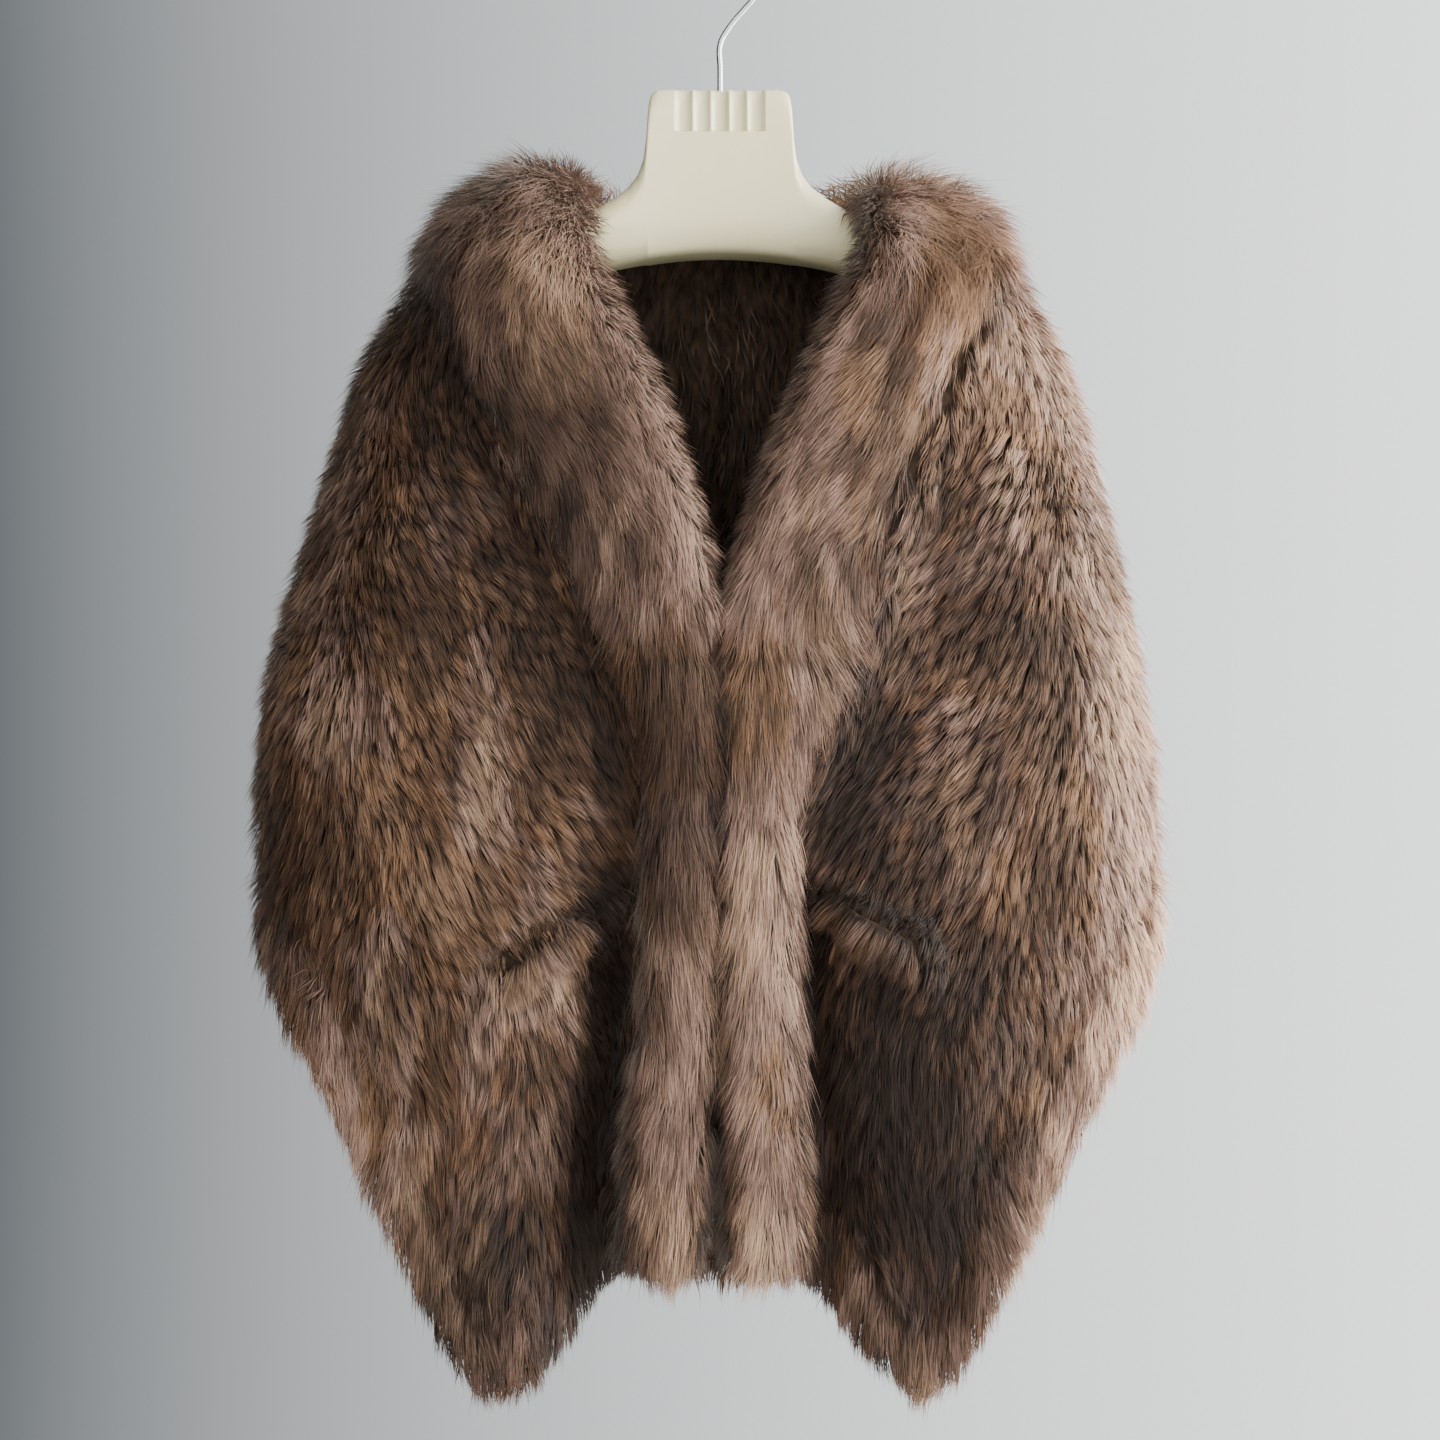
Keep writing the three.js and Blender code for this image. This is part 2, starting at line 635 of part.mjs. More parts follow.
const hangerPress = hangerBody(SEAM);
const backPresses = [-1, 1].map((side) => toSolid(backPanel(side, SEAM)));
addPiece("border_back", backBorder(), "border");
addPiece("collar_back", pressedBy(backCollar(), hangerPress, ...backPresses), "collar");
for (const side of [-1, 1]) {
  const name = sideName(side);
  addPiece(`back_${name}`, pressedBy(backPanel(side, 0), hangerPress), "body");
  const panelPress = toSolid(frontPanel(side, SEAM));
  const borderPress = toSolid(frontBorder(side, SEAM));
  addPiece(`front_${name}`, pressedBy(frontPanel(side, 0), hangerPress), "body");
  addPiece(`border_${name}`, frontBorder(side, 0), "border");
  addPiece(`collar_${name}`, pressedBy(frontCollar(side), hangerPress, panelPress), "collar");
  addPiece(`band_${name}`, pressedBy(frontBand(side), panelPress, borderPress), "collar");
  addPiece(`pocket_lip_${name}`, pressedBy(pocketLip(side), panelPress), "collar");
}
addPiece("hanger", hangerGeometry(), "plastic");
addPiece("hook", hookGeometry(), "steel");

export default wrap;
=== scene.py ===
# %% [markdown]
# A fur wrap on its hanger. The frame holds the real sizes and places of every piece. This script
# dresses it: each fur wall becomes a thin hide with real strands of fur growing out of it, and the
# hanger and its hook get smooth surfaces and their own finishes.

# %% Load the frame
import math

import bmesh
import bpy
import numpy as np
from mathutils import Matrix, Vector
from mathutils.bvhtree import BVHTree
from mathutils.kdtree import KDTree


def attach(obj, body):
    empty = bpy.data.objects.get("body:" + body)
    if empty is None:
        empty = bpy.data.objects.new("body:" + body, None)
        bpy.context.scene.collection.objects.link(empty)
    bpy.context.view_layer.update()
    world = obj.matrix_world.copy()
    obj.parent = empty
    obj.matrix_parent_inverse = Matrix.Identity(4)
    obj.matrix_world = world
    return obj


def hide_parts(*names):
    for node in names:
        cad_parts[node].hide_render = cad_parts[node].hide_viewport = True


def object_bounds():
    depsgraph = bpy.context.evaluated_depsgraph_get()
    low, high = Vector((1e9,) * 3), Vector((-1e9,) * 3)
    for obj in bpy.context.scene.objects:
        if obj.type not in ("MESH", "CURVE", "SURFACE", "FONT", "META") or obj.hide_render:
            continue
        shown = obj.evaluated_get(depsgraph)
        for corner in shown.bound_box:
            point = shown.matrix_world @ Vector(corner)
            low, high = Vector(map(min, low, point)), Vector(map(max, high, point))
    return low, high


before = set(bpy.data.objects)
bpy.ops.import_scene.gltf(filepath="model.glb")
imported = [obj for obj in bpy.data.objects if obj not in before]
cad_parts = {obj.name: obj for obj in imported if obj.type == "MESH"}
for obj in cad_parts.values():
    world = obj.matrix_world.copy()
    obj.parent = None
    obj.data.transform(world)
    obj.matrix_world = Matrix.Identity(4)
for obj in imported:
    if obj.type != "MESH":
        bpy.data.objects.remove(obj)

cad_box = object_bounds()
MM = 0.001
print("CAD box", [tuple(round(value, 3) for value in corner) for corner in cad_box])

# %% [markdown]
# The camera, the lamps and every piece are linked to the scene in the same way, and every finish
# is a small tree of nodes. These functions save repeating it.

# %% Small helpers


def linked(name, data):
    piece = bpy.data.objects.new(name, data)
    bpy.context.scene.collection.objects.link(piece)
    return piece


def new_material(name):
    """A material with its node tree and its shader."""
    material = bpy.data.materials.new(name)
    material.use_nodes = True
    tree = material.node_tree
    return material, tree, tree.nodes["Principled BSDF"]


def set_inputs(node, values):
    for name, value in values.items():
        node.inputs[name].default_value = value


def join(tree, *rows):
    """Link nodes. A row holds a node and its output, then the next node and its input."""
    for source, output, target, entry in rows:
        tree.links.new(source.outputs[output], target.inputs[entry])


def add_node(tree, kind, **values):
    """A shader node with some inputs set. An underscore in a name stands for a space."""
    node = tree.nodes.new(f"ShaderNode{kind}")
    set_inputs(node, {name.replace("_", " "): value for name, value in values.items()})
    return node


# %% [markdown]
# The photo was taken from straight in front, at the height of the middle of the wrap. A camera two
# metres away whose field is 936 mm wide at the hanger gives the same framing.

# %% Camera
CAMERA_AWAY = 2.0
CAMERA_HEIGHT = -0.505
FIELD_WIDTH = 0.936
SENSOR_WIDTH = 36

camera_data = bpy.data.cameras.new("camera")
camera_data.sensor_width = SENSOR_WIDTH
camera_data.lens = SENSOR_WIDTH * CAMERA_AWAY / FIELD_WIDTH
camera = linked("camera", camera_data)
camera.location = (0, -CAMERA_AWAY, CAMERA_HEIGHT)
camera.rotation_euler = (math.pi / 2, 0, 0)
bpy.context.scene.camera = camera

# %% [markdown]
# Fur shows its depth only in soft light that comes from one side. A large window-like lamp stands
# to the right, one behind it lights the edge of the fur, and a weak one fills in from the front.
# The surroundings go from dim on the left to pale on the right.

# %% Lights and surroundings


def area_lamp(name, place, target, size, watts, colour):
    data = bpy.data.lights.new(name, "AREA")
    data.shape = "RECTANGLE"
    data.size, data.size_y = size
    data.energy = watts
    data.color = colour
    lamp = linked(name, data)
    lamp.location = place
    aim = Vector(target) - Vector(place)
    lamp.rotation_euler = aim.to_track_quat("-Z", "Y").to_euler()


MIDDLE = (0, 0, -0.5)
area_lamp("window_lamp", (1.9, -0.7, 0.25), MIDDLE, (1.2, 2.0), 104, (1.0, 0.98, 0.95))
area_lamp("edge_lamp", (1.5, 0.9, -0.3), MIDDLE, (0.8, 1.6), 56, (1.0, 0.96, 0.92))
area_lamp("fill_lamp", (-0.9, -2.3, 0.5), MIDDLE, (1.8, 1.8), 28, (1.0, 0.98, 0.95))

DIM_SIDE = (0.105, 0.125, 0.138, 1)
WINDOW_SIDE = (2.35, 2.40, 2.43, 1)
DIM_UNTIL = -0.25
WINDOW_FROM = 0.28
SKY_STRENGTH = 0.85

world = bpy.data.worlds.new("surroundings")
world.use_nodes = True
sky = world.node_tree
backdrop = sky.nodes["Background"]
direction = add_node(sky, "TexCoord")
parts = add_node(sky, "SeparateXYZ")
shade = add_node(sky, "MapRange", From_Min=DIM_UNTIL, From_Max=WINDOW_FROM)
blend = add_node(sky, "Mix")
blend.data_type = "RGBA"
set_inputs(blend, {"A": DIM_SIDE, "B": WINDOW_SIDE})
set_inputs(backdrop, {"Strength": SKY_STRENGTH})
join(
    sky,
    (direction, "Generated", parts, "Vector"),
    (parts, "X", shade, "Value"),
    (shade, "Result", blend, "Factor"),
    (blend, "Result", backdrop, "Color"),
)
bpy.context.scene.world = world

FLOOR_HEIGHT = -1.25
FLOOR_RADIUS = 0.85
FLOOR_SIDES = 128

floor_mesh = bmesh.new()
bmesh.ops.create_circle(floor_mesh, cap_ends=True, segments=FLOOR_SIDES, radius=FLOOR_RADIUS)
bmesh.ops.translate(floor_mesh, verts=floor_mesh.verts, vec=(0, 0, FLOOR_HEIGHT))
floor_data = bpy.data.meshes.new("floor")
floor_mesh.to_mesh(floor_data)
floor_mesh.free()
floor = linked("floor", floor_data)
floor_material, _, floor_shader = new_material("pale_floor")
set_inputs(floor_shader, {"Base Color": (0.62, 0.64, 0.66, 1), "Roughness": 0.9})
floor_data.materials.append(floor_material)

# %% [markdown]
# Values that vary softly over the wrap, such as where the fur is paler or how it swirls, come from
# value noise: random numbers on a lattice, blended smoothly between its corners.

# %% Noise
LATTICE = 16


def noise(points, size, seed):
    lattice = np.random.default_rng(seed).random((LATTICE, LATTICE, LATTICE))
    place = points / size
    base = np.floor(place).astype(int)
    part = place - base
    part = part * part * (3 - 2 * part)
    total = np.zeros(len(points))
    for corner in np.ndindex(2, 2, 2):
        weight = np.prod(np.where(corner, part, 1 - part), axis=1)
        total += weight * lattice[tuple(((base + corner) % LATTICE).T)]
    return total


def unit(vectors):
    return vectors / np.maximum(np.linalg.norm(vectors, axis=-1, keepdims=True), 1e-9)


def soft_step(value, start, end):
    part = np.clip((value - start) / (end - start), 0, 1)
    return part * part * (3 - 2 * part)


# %% [markdown]
# The fur's colour follows the strand. Along its length it goes from dark underfur to pale guard
# hair, and from strand to strand it takes one colour of a palette of four families, each from dark
# to pale. Both are read from the strand's own map: across is the colour, up is the place along
# the strand.

# %% Fur finish
FUR_FAMILIES = {
    "brown": [(0.016, 0.008, 0.005), (0.097, 0.050, 0.028), (0.345, 0.200, 0.120)],
    "rust": [(0.022, 0.010, 0.005), (0.135, 0.066, 0.033), (0.440, 0.245, 0.130)],
    "mauve": [(0.026, 0.014, 0.010), (0.160, 0.090, 0.062), (0.550, 0.348, 0.258)],
    "tan": [(0.034, 0.019, 0.011), (0.225, 0.130, 0.078), (0.690, 0.450, 0.302)],
}
ROOT_TO_TIP = [(0.0, 0.16), (0.2, 0.32), (0.5, 0.82), (0.8, 1.0), (1.0, 1.0)]
FAMILY_SPAN = 1 / len(FUR_FAMILIES)
FAMILY_EDGE = 0.012


def palette_stops():
    stops = []
    for number, shades in enumerate(FUR_FAMILIES.values()):
        start = number * FAMILY_SPAN + FAMILY_EDGE / 2
        width = FAMILY_SPAN - FAMILY_EDGE
        stops += [(start + width * share, shade) for share, shade in zip((0, 0.5, 1), shades)]
    return stops


def fill_ramp(ramp, stops):
    while len(ramp.color_ramp.elements) < len(stops):
        ramp.color_ramp.elements.new(0.5)
    for element, (place, colour) in zip(ramp.color_ramp.elements, stops):
        element.position = place
        value = colour if isinstance(colour, tuple) else (colour,) * 3
        element.color = (*value, 1)


def fur_material(name, sheen, brightness):
    material, tree, shader = new_material(name)
    place = add_node(tree, "UVMap")
    place.uv_map = "OFBake"
    split = add_node(tree, "SeparateXYZ")
    tone = add_node(tree, "ValToRGB")
    fill_ramp(tone, palette_stops())
    along = add_node(tree, "ValToRGB")
    fill_ramp(along, [(stop, value * brightness) for stop, value in ROOT_TO_TIP])
    mix = add_node(tree, "Mix")
    mix.data_type = "RGBA"
    mix.blend_type = "MULTIPLY"
    set_inputs(mix, {"Factor": 1})
    join(
        tree,
        (place, "UV", split, "Vector"),
        (split, "X", tone, "Fac"),
        (split, "Y", along, "Fac"),
        (tone, "Color", mix, "A"),
        (along, "Color", mix, "B"),
        (mix, "Result", shader, "Base Color"),
    )
    set_inputs(shader, {"Roughness": 0.62, "Specular IOR Level": 0.28})
    set_inputs(shader, {"Sheen Weight": sheen, "Sheen Roughness": 0.45})
    set_inputs(shader, {"Sheen Tint": (0.95, 0.82, 0.70, 1)})
    return material


body_fur = fur_material("knitted_fur", 0.22, 1.0)
collar_fur = fur_material("collar_fur", 0.30, 1.0)
# The inside's fur is the same finish at a quarter of the brightness: painted shade for the hollow
# inside of the wrap.
shaded_inner_fur = fur_material("shaded_inner_fur", 0.05, 0.28)

# %% [markdown]
# Under the fur lies the hide. It is seldom seen, but it closes the gaps between strands, so it is
# the colour of dark underfur, streaked and uneven.

# %% Hide finish


def hide_material():
    material, tree, shader = new_material("hide")
    place = add_node(tree, "TexCoord")
    stretch = add_node(tree, "Mapping", Scale=(1, 1, 0.3))
    grain = add_node(tree, "TexNoise", Scale=190, Detail=4)
    colours = add_node(tree, "ValToRGB")
    fill_ramp(colours, [(0.3, (0.018, 0.012, 0.008)), (0.7, (0.085, 0.054, 0.037))])
    bump = add_node(tree, "Bump", Strength=0.5, Distance=0.002)
    join(
        tree,
        (place, "Object", stretch, "Vector"),
        (stretch, "Vector", grain, "Vector"),
        (grain, "Fac", colours, "Fac"),
        (colours, "Color", shader, "Base Color"),
        (grain, "Fac", bump, "Height"),
        (bump, "Normal", shader, "Normal"),
    )
    set_inputs(shader, {"Roughness": 0.95, "Specular IOR Level": 0.1})
    return material


hide_finish = hide_material()

# %% [markdown]
# A hide is made from its fur wall. A voxel remesh evens out the wall's faces, and then each point
# moves in by the depth of the pile, or by a share of the wall where the hanger presses it thin.
# Where two walls are sewn together, both hides reach the seam, so that no light comes through it.

# %% Hides
SLOTS = {
    "knitted_fur": ["back_right", "back_left", "front_right", "front_left"],
    "border_fur": ["border_back", "border_right", "border_left"],
    "collar_fur": [
        "collar_back", "collar_right", "collar_left", "band_right", "band_left",
        "pocket_lip_right", "pocket_lip_left",
    ],
}
CLOTH = {node: slot for slot, nodes in SLOTS.items() for node in nodes}
HIDE_VOXEL = 7.5 * MM
POCKET_VOXEL = 3.75 * MM
PILE_DEPTH = 9 * MM
PILE_SHARE = 0.36
COVERED_WITHIN = 5 * MM
SEAM_WITHIN = 5 * MM
SEAM_OVERLAP = 1.2 * MM
FACING = -0.25
LEAST_MOVE = 0.3
RAY_START = 0.5 * MM
SMOOTH_TIMES = 3


def merged_copy(node):
    """The node's solid as its own mesh, with its shared points merged."""
    mesh = bmesh.new()
    mesh.from_mesh(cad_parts[node].data)
    bmesh.ops.remove_doubles(mesh, verts=mesh.verts, dist=1e-6)
    return mesh


def tree_without(node):
    """All the other cloth solids, as one tree to measure against."""
    joined = bmesh.new()
    for other in CLOTH:
        if other != node:
            joined.from_mesh(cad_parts[other].data)
    tree = BVHTree.FromBMesh(joined)
    joined.free()
    return tree


def even_faces(node):
    """The node's own closed form in small even faces."""
    mesh = merged_copy(node)
    data = bpy.data.meshes.new("rough")
    mesh.to_mesh(data)
    mesh.free()
    rough = linked("rough", data)
    remesh = rough.modifiers.new("even", "REMESH")
    remesh.mode = "VOXEL"
    remesh.voxel_size = POCKET_VOXEL if node.startswith("pocket") else HIDE_VOXEL
    graph = bpy.context.evaluated_depsgraph_get()
    even = bpy.data.meshes.new_from_object(rough.evaluated_get(graph))
    bpy.data.objects.remove(rough)
    bpy.data.meshes.remove(data)
    return even


def hide_move(vertex, own, others):
    """How a point of the wall moves to reach the hide, its pile, and the walls close to it."""
    inward = -vertex.normal
    hit = own.ray_cast(vertex.co + inward * RAY_START, inward)
    thick = hit[3] if hit[0] else PILE_DEPTH
    pile = min(PILE_DEPTH, PILE_SHARE * thick)
    move = inward * pile
    near = others.find_nearest_range(vertex.co, SEAM_WITHIN)
    met = [row for row in near if vertex.normal.dot(row[1]) < FACING]
    for _, facing, _, _ in met or near:
        move = move - facing * (move.dot(facing) if met else max(0, move.dot(facing)))
    if met and move.length > LEAST_MOVE * pile:
        move = move.normalized() * pile
    reach = vertex.co.copy()
    for seam, facing, _, _ in met:
        reach += facing * ((seam - reach).dot(facing) - SEAM_OVERLAP)
    return move + reach - vertex.co, pile, near


def make_hide(node):
    """The hide of one node, with the pile and the cover at each of its points."""
    even = even_faces(node)
    shape = bmesh.new()
    shape.from_mesh(even)
    shape.normal_update()
    own = BVHTree.FromBMesh(shape)
    others = tree_without(node)
    piles, covered, free, moves = [], [], [], []
    for vertex in shape.verts:
        move, pile, near = hide_move(vertex, own, others)
        moves.append(move)
        piles.append(pile)
        if not near:
            free.append(vertex)
        above = others.ray_cast(vertex.co, vertex.normal, COVERED_WITHIN)
        covered.append(float(above[0] is not None))
    for vertex, move in zip(shape.verts, moves):
        vertex.co += move
    for _ in range(SMOOTH_TIMES):
        bmesh.ops.smooth_vert(
            shape, verts=free, factor=0.5, use_axis_x=True, use_axis_y=True, use_axis_z=True
        )
    shape.to_mesh(even)
    shape.free()
    even.name = f"hide_{node}"
    for face in even.polygons:
        face.use_smooth = True
    even.materials.clear()
    even.materials.append(hide_finish)
    hide = linked(f"hide_{node}", even)
    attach(hide, "root")
    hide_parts(node)
    return hide, np.array(piles), np.array(covered)


hides = {node: make_hide(node) for node in CLOTH}
faces = sum(len(hide.data.polygons) for hide, _, _ in hides.values())
print("hides", len(hides), "with", faces, "faces")

# %% [markdown]
# Strands are scattered evenly over a hide: faces are drawn at random by their area, and each root
# is a random place in its face. It keeps the surface normal and the depth of pile there.

# %% Scattering roots


def scatter(node, count, rng):
    hide, piles, covered = hides[node]
    mesh = hide.data
    mesh.calc_loop_triangles()
    corners = np.empty(len(mesh.loop_triangles) * 3, int)
    mesh.loop_triangles.foreach_get("vertices", corners)
    corners = corners.reshape(-1, 3)
    places = np.empty(len(mesh.vertices) * 3)
    mesh.vertices.foreach_get("co", places)
    places = places.reshape(-1, 3)
    normals = np.empty(len(mesh.vertices) * 3)
    mesh.vertex_normals.foreach_get("vector", normals)
    normals = normals.reshape(-1, 3)
    first, second, third = (places[corners[:, k]] for k in range(3))
    areas = np.linalg.norm(np.cross(second - first, third - first), axis=1) / 2
    areas *= covered[corners].mean(axis=1) < 0.5
    chosen = rng.choice(len(corners), count, p=areas / areas.sum())
    share = rng.random((count, 2))
    share = np.where(share.sum(axis=1, keepdims=True) > 1, 1 - share, share)
    weights = np.column_stack([1 - share.sum(axis=1), share])[:, :, None]
    point = (places[corners[chosen]] * weights).sum(axis=1)
    normal = unit((normals[corners[chosen]] * weights).sum(axis=1))
    pile = (piles[corners[chosen]] * weights[:, :, 0]).sum(axis=1)
    return point, normal, pile


# %% [markdown]
# Whether a root is on the outer or the inner face follows from the wrap's own hollow: the outer
# face looks away from a line that runs across the middle of the hollow. The fur is combed down
# and in on the fronts, across the collar, down the bands and outward over the shoulders. Heights
# below the hook are given as pairs of metres, between which one lay passes into the next.

# %% Which face, and which way the fur lies
HOLLOW_HALF = 0.19
HOLLOW_UP = 0.06
INNER_LIMIT = -0.004
SHOULDER_HEIGHT = -0.30
MEET_HEIGHT = -0.453
NECK_HEIGHT = -0.213
NECK_HALF = 0.086
NECK_CURVE = 1.6
FRONTS_LAP = 0.006
FRONT_COLLARS = ("collar_right", "collar_left")
SHOULDER_SLOPE = (-0.29, -0.17)
CHEST_FROM = (0.24, 0.34)
CHEST_TO = (0.58, 0.78)
TO_THE_SIDES = (0.17, 0.26)
OFF_THE_EDGE = (0.006, 0.035)
COLLAR_OUTWARD = (0.05, 0.15)
INTO_BAND = (0.36, 0.445)
BAND_MIDDLE = 0.03
COMB = {
    "chest": -0.70, "band": 0.2, "collar_left": 0.85, "collar_right": 0.60, "edge": 0.36,
    "outward": 0.3, "back": 0.12, "shoulder": 0.5, "fore": 0.8, "sink": -0.4, "swirl": 0.7,
}
COLLAR_LIFT = 0.6
BODY_LIFT = 0.95


def faces_out(point, normal):
    away = point.copy()
    away[:, 0] -= np.clip(point[:, 0], -HOLLOW_HALF, HOLLOW_HALF)
    away[:, 2] = np.where(point[:, 2] > SHOULDER_HEIGHT, HOLLOW_UP, 0)
    return (away * normal).sum(axis=1) > INNER_LIMIT


def from_neck_edge(x, z):
    """How far each place is across from the collar's inner edge, in metres."""
    down = np.clip((MEET_HEIGHT - z) / (MEET_HEIGHT - NECK_HEIGHT), 0, 1)
    return np.abs(x) - np.where(x < 0, FRONTS_LAP, 0.0) - NECK_HALF * down**NECK_CURVE


def lay_of_fur(node, point, seed):
    """The way the fur is combed at each root, before it is laid along the surface."""
    x, y, z = point.T
    side = np.sign(x)
    shoulder = soft_step(z, *SHOULDER_SLOPE)
    across = side * COMB["chest"] * soft_step(-z, *CHEST_FROM) * (1 - soft_step(-z, *CHEST_TO))
    across *= 1 - soft_step(np.abs(x), *TO_THE_SIDES)
    along_band = side * COMB["band"] * (np.abs(x) - BAND_MIDDLE) / BAND_MIDDLE
    if node in FRONT_COLLARS:
        off_edge = soft_step(from_neck_edge(x, z), *OFF_THE_EDGE)
        turned = COMB["edge"] + (COMB[node] - COMB["edge"]) * off_edge
        turned = turned - COMB["outward"] * soft_step(np.abs(x), *COLLAR_OUTWARD)
        across = -side * turned * (1 - 0.5 * shoulder)
        into_band = soft_step(-z, *INTO_BAND)
        across = across * (1 - into_band) + along_band * into_band
    if node.startswith("band"):
        across = along_band
    if "back" in node:
        spread = COMB["back"] * np.clip((x + 0.005) / 0.12, -1, 1)
        across = np.where(y < 0.01, across, spread)
    flow = np.column_stack([across, np.zeros(len(x)), -np.ones(len(x))])
    aside = COMB["shoulder"] * np.clip(x / 0.08, -1, 1)
    fore = np.clip(y / 0.03, -1, 1) * COMB["fore"]
    outward = np.column_stack([aside, fore, np.full(len(x), COMB["sink"])])
    lift = shoulder[:, None] * (COLLAR_LIFT if node in FRONT_COLLARS else BODY_LIFT)
    flow = flow * (1 - lift) + outward * lift
    swirl = noise(point, 0.045, seed) - 0.5
    swirl += 0.6 * (noise(point, 0.018, seed + 1) - 0.5)
    flow[:, 0] += COMB["swirl"] * swirl
    return unit(flow)


# %% [markdown]
# Some places are painted darker or paler than the rest for the shade and light of how the wrap
# hangs: painted shade in the deep fold beside each band, in the slit above each pocket lip and in
# the dimples on the shoulders, and painted light on the pale rolls of the collar and of the hems'
# edges. A valley is an upright trough and a slit a slanting one. A patch is a soft oval on the
# front, placed in metres, with how much paler or darker it makes: mostly painted light and shade,
# partly the fur's own tone.

# %% Painted shade and light
FRONT_FACE = -0.02
PATCH_FADE = (-0.01, 0.09)
# Valleys and slits darken the strands in them as painted shade, and shorten them.
VALLEYS = [
    {"x": -0.074, "width": 0.022, "top": -0.55, "full": -0.68, "deep": 1.2},
    {"x": 0.061, "width": 0.015, "top": -0.52, "full": -0.62, "deep": 0.42},
    {"x": 0.001, "width": 0.014, "top": -0.40, "full": -0.46, "deep": 0.70},
]
SLITS = [
    {"inner": (-0.056, -0.603), "outer": (-0.142, -0.657), "wide": 0.010},
    {"inner": (0.055, -0.602), "outer": (0.131, -0.640), "wide": 0.010},
]
# Patches are mostly painted light, on the edges that face the window lamp, and painted shade, in
# folds, dimples and hollows; partly they are the fur's own paler or darker tone.
LIGHT_SHADE_AND_TONE_PATCHES = {
    "dimple_right": {"x": -0.184, "z": -0.225, "wide": 0.016, "high": 0.022, "pale": -0.45},
    "dimple_left": {"x": 0.180, "z": -0.228, "wide": 0.016, "high": 0.026, "pale": -0.45},
    "chest_right": {"x": -0.150, "z": -0.320, "wide": 0.060, "high": 0.070, "pale": -0.26},
    "fold_right": {"x": -0.080, "z": -0.500, "wide": 0.055, "high": 0.090, "pale": -0.20},
    "drape_right": {"x": -0.165, "z": -0.650, "wide": 0.070, "high": 0.100, "pale": 0.18},
    "lobe_right": {"x": -0.170, "z": -0.850, "wide": 0.080, "high": 0.090, "pale": -0.56},
    "chest_left": {"x": 0.160, "z": -0.400, "wide": 0.070, "high": 0.110, "pale": -0.04},
    "fold_left": {"x": 0.110, "z": -0.600, "wide": 0.080, "high": 0.080, "pale": -0.18},
    "skirt_left": {"x": 0.130, "z": -0.740, "wide": 0.080, "high": 0.080, "pale": -0.62},
    "lobe_left": {"x": 0.125, "z": -0.875, "wide": 0.060, "high": 0.060, "pale": -0.24},
    "low_right": {"x": -0.205, "z": -0.545, "wide": 0.055, "high": 0.070, "pale": 0.16},
    "edge_left": {"x": 0.270, "z": -0.520, "wide": 0.045, "high": 0.200, "pale": 0.66},
    "upper_left": {"x": 0.215, "z": -0.260, "wide": 0.070, "high": 0.100, "pale": 0.46},
    "corner_left": {"x": 0.102, "z": -0.455, "wide": 0.020, "high": 0.035, "pale": -0.30},
    "roll_right": {"x": -0.065, "z": -0.280, "wide": 0.030, "high": 0.050, "pale": -0.12},
    "band_left_low": {"x": 0.028, "z": -0.750, "wide": 0.026, "high": 0.080, "pale": 0.10},
    "inner_left": {"x": 0.092, "z": -0.520, "wide": 0.030, "high": 0.060, "pale": -0.30},
    "edge_low": {"x": 0.240, "z": -0.720, "wide": 0.045, "high": 0.080, "pale": 0.22},
    "edge_right": {"x": -0.260, "z": -0.380, "wide": 0.060, "high": 0.140, "pale": 0.14},
    "hem_left_side": {"x": 0.205, "z": -0.835, "wide": 0.035, "high": 0.070, "pale": 0.42},
    "hem_left_tip": {"x": 0.145, "z": -0.925, "wide": 0.050, "high": 0.022, "pale": 0.34},
    "hem_right_side": {"x": -0.215, "z": -0.810, "wide": 0.032, "high": 0.080, "pale": 0.42},
    "hem_right_tip": {"x": -0.145, "z": -0.925, "wide": 0.050, "high": 0.022, "pale": 0.32},
    "band_left": {"x": 0.028, "z": -0.620, "wide": 0.026, "high": 0.260, "pale": 0.26},
    "band_right": {"x": -0.028, "z": -0.565, "wide": 0.030, "high": 0.075, "pale": -0.42},
    "band_right_low": {"x": -0.040, "z": -0.720, "wide": 0.030, "high": 0.090, "pale": 0.14},
    "shoulder_left": {"x": 0.170, "z": -0.160, "wide": 0.060, "high": 0.040, "pale": 0.28},
    "shoulder_right": {"x": -0.150, "z": -0.180, "wide": 0.060, "high": 0.040, "pale": 0.02},
}


def valley_depth(point):
    x, y, z = point.T
    depth = np.zeros(len(x))
    for row in VALLEYS:
        width = row["width"] * (0.45 + 0.55 * soft_step(-z, 0.60, 0.74))
        here = np.exp(-(((x - row["x"]) / width) ** 2)) * row["deep"]
        depth = np.maximum(depth, here * soft_step(-z, -row["top"], -row["full"]))
    return depth * (y < FRONT_FACE)


def slit_depth(point):
    x, y, z = point.T
    depth = np.zeros(len(x))
    for row in SLITS:
        (x0, z0), (x1, z1) = row["inner"], row["outer"]
        share = (x - x0) / (x1 - x0)
        above = z - (z0 + (z1 - z0) * share)
        here = np.exp(-(((above - row["wide"] * 0.6) / row["wide"]) ** 2))
        inside = soft_step(share, -0.1, 0.05) * (1 - soft_step(share, 0.9, 1.1))
        depth = np.maximum(depth, here * inside)
    return depth * (y < FRONT_FACE)


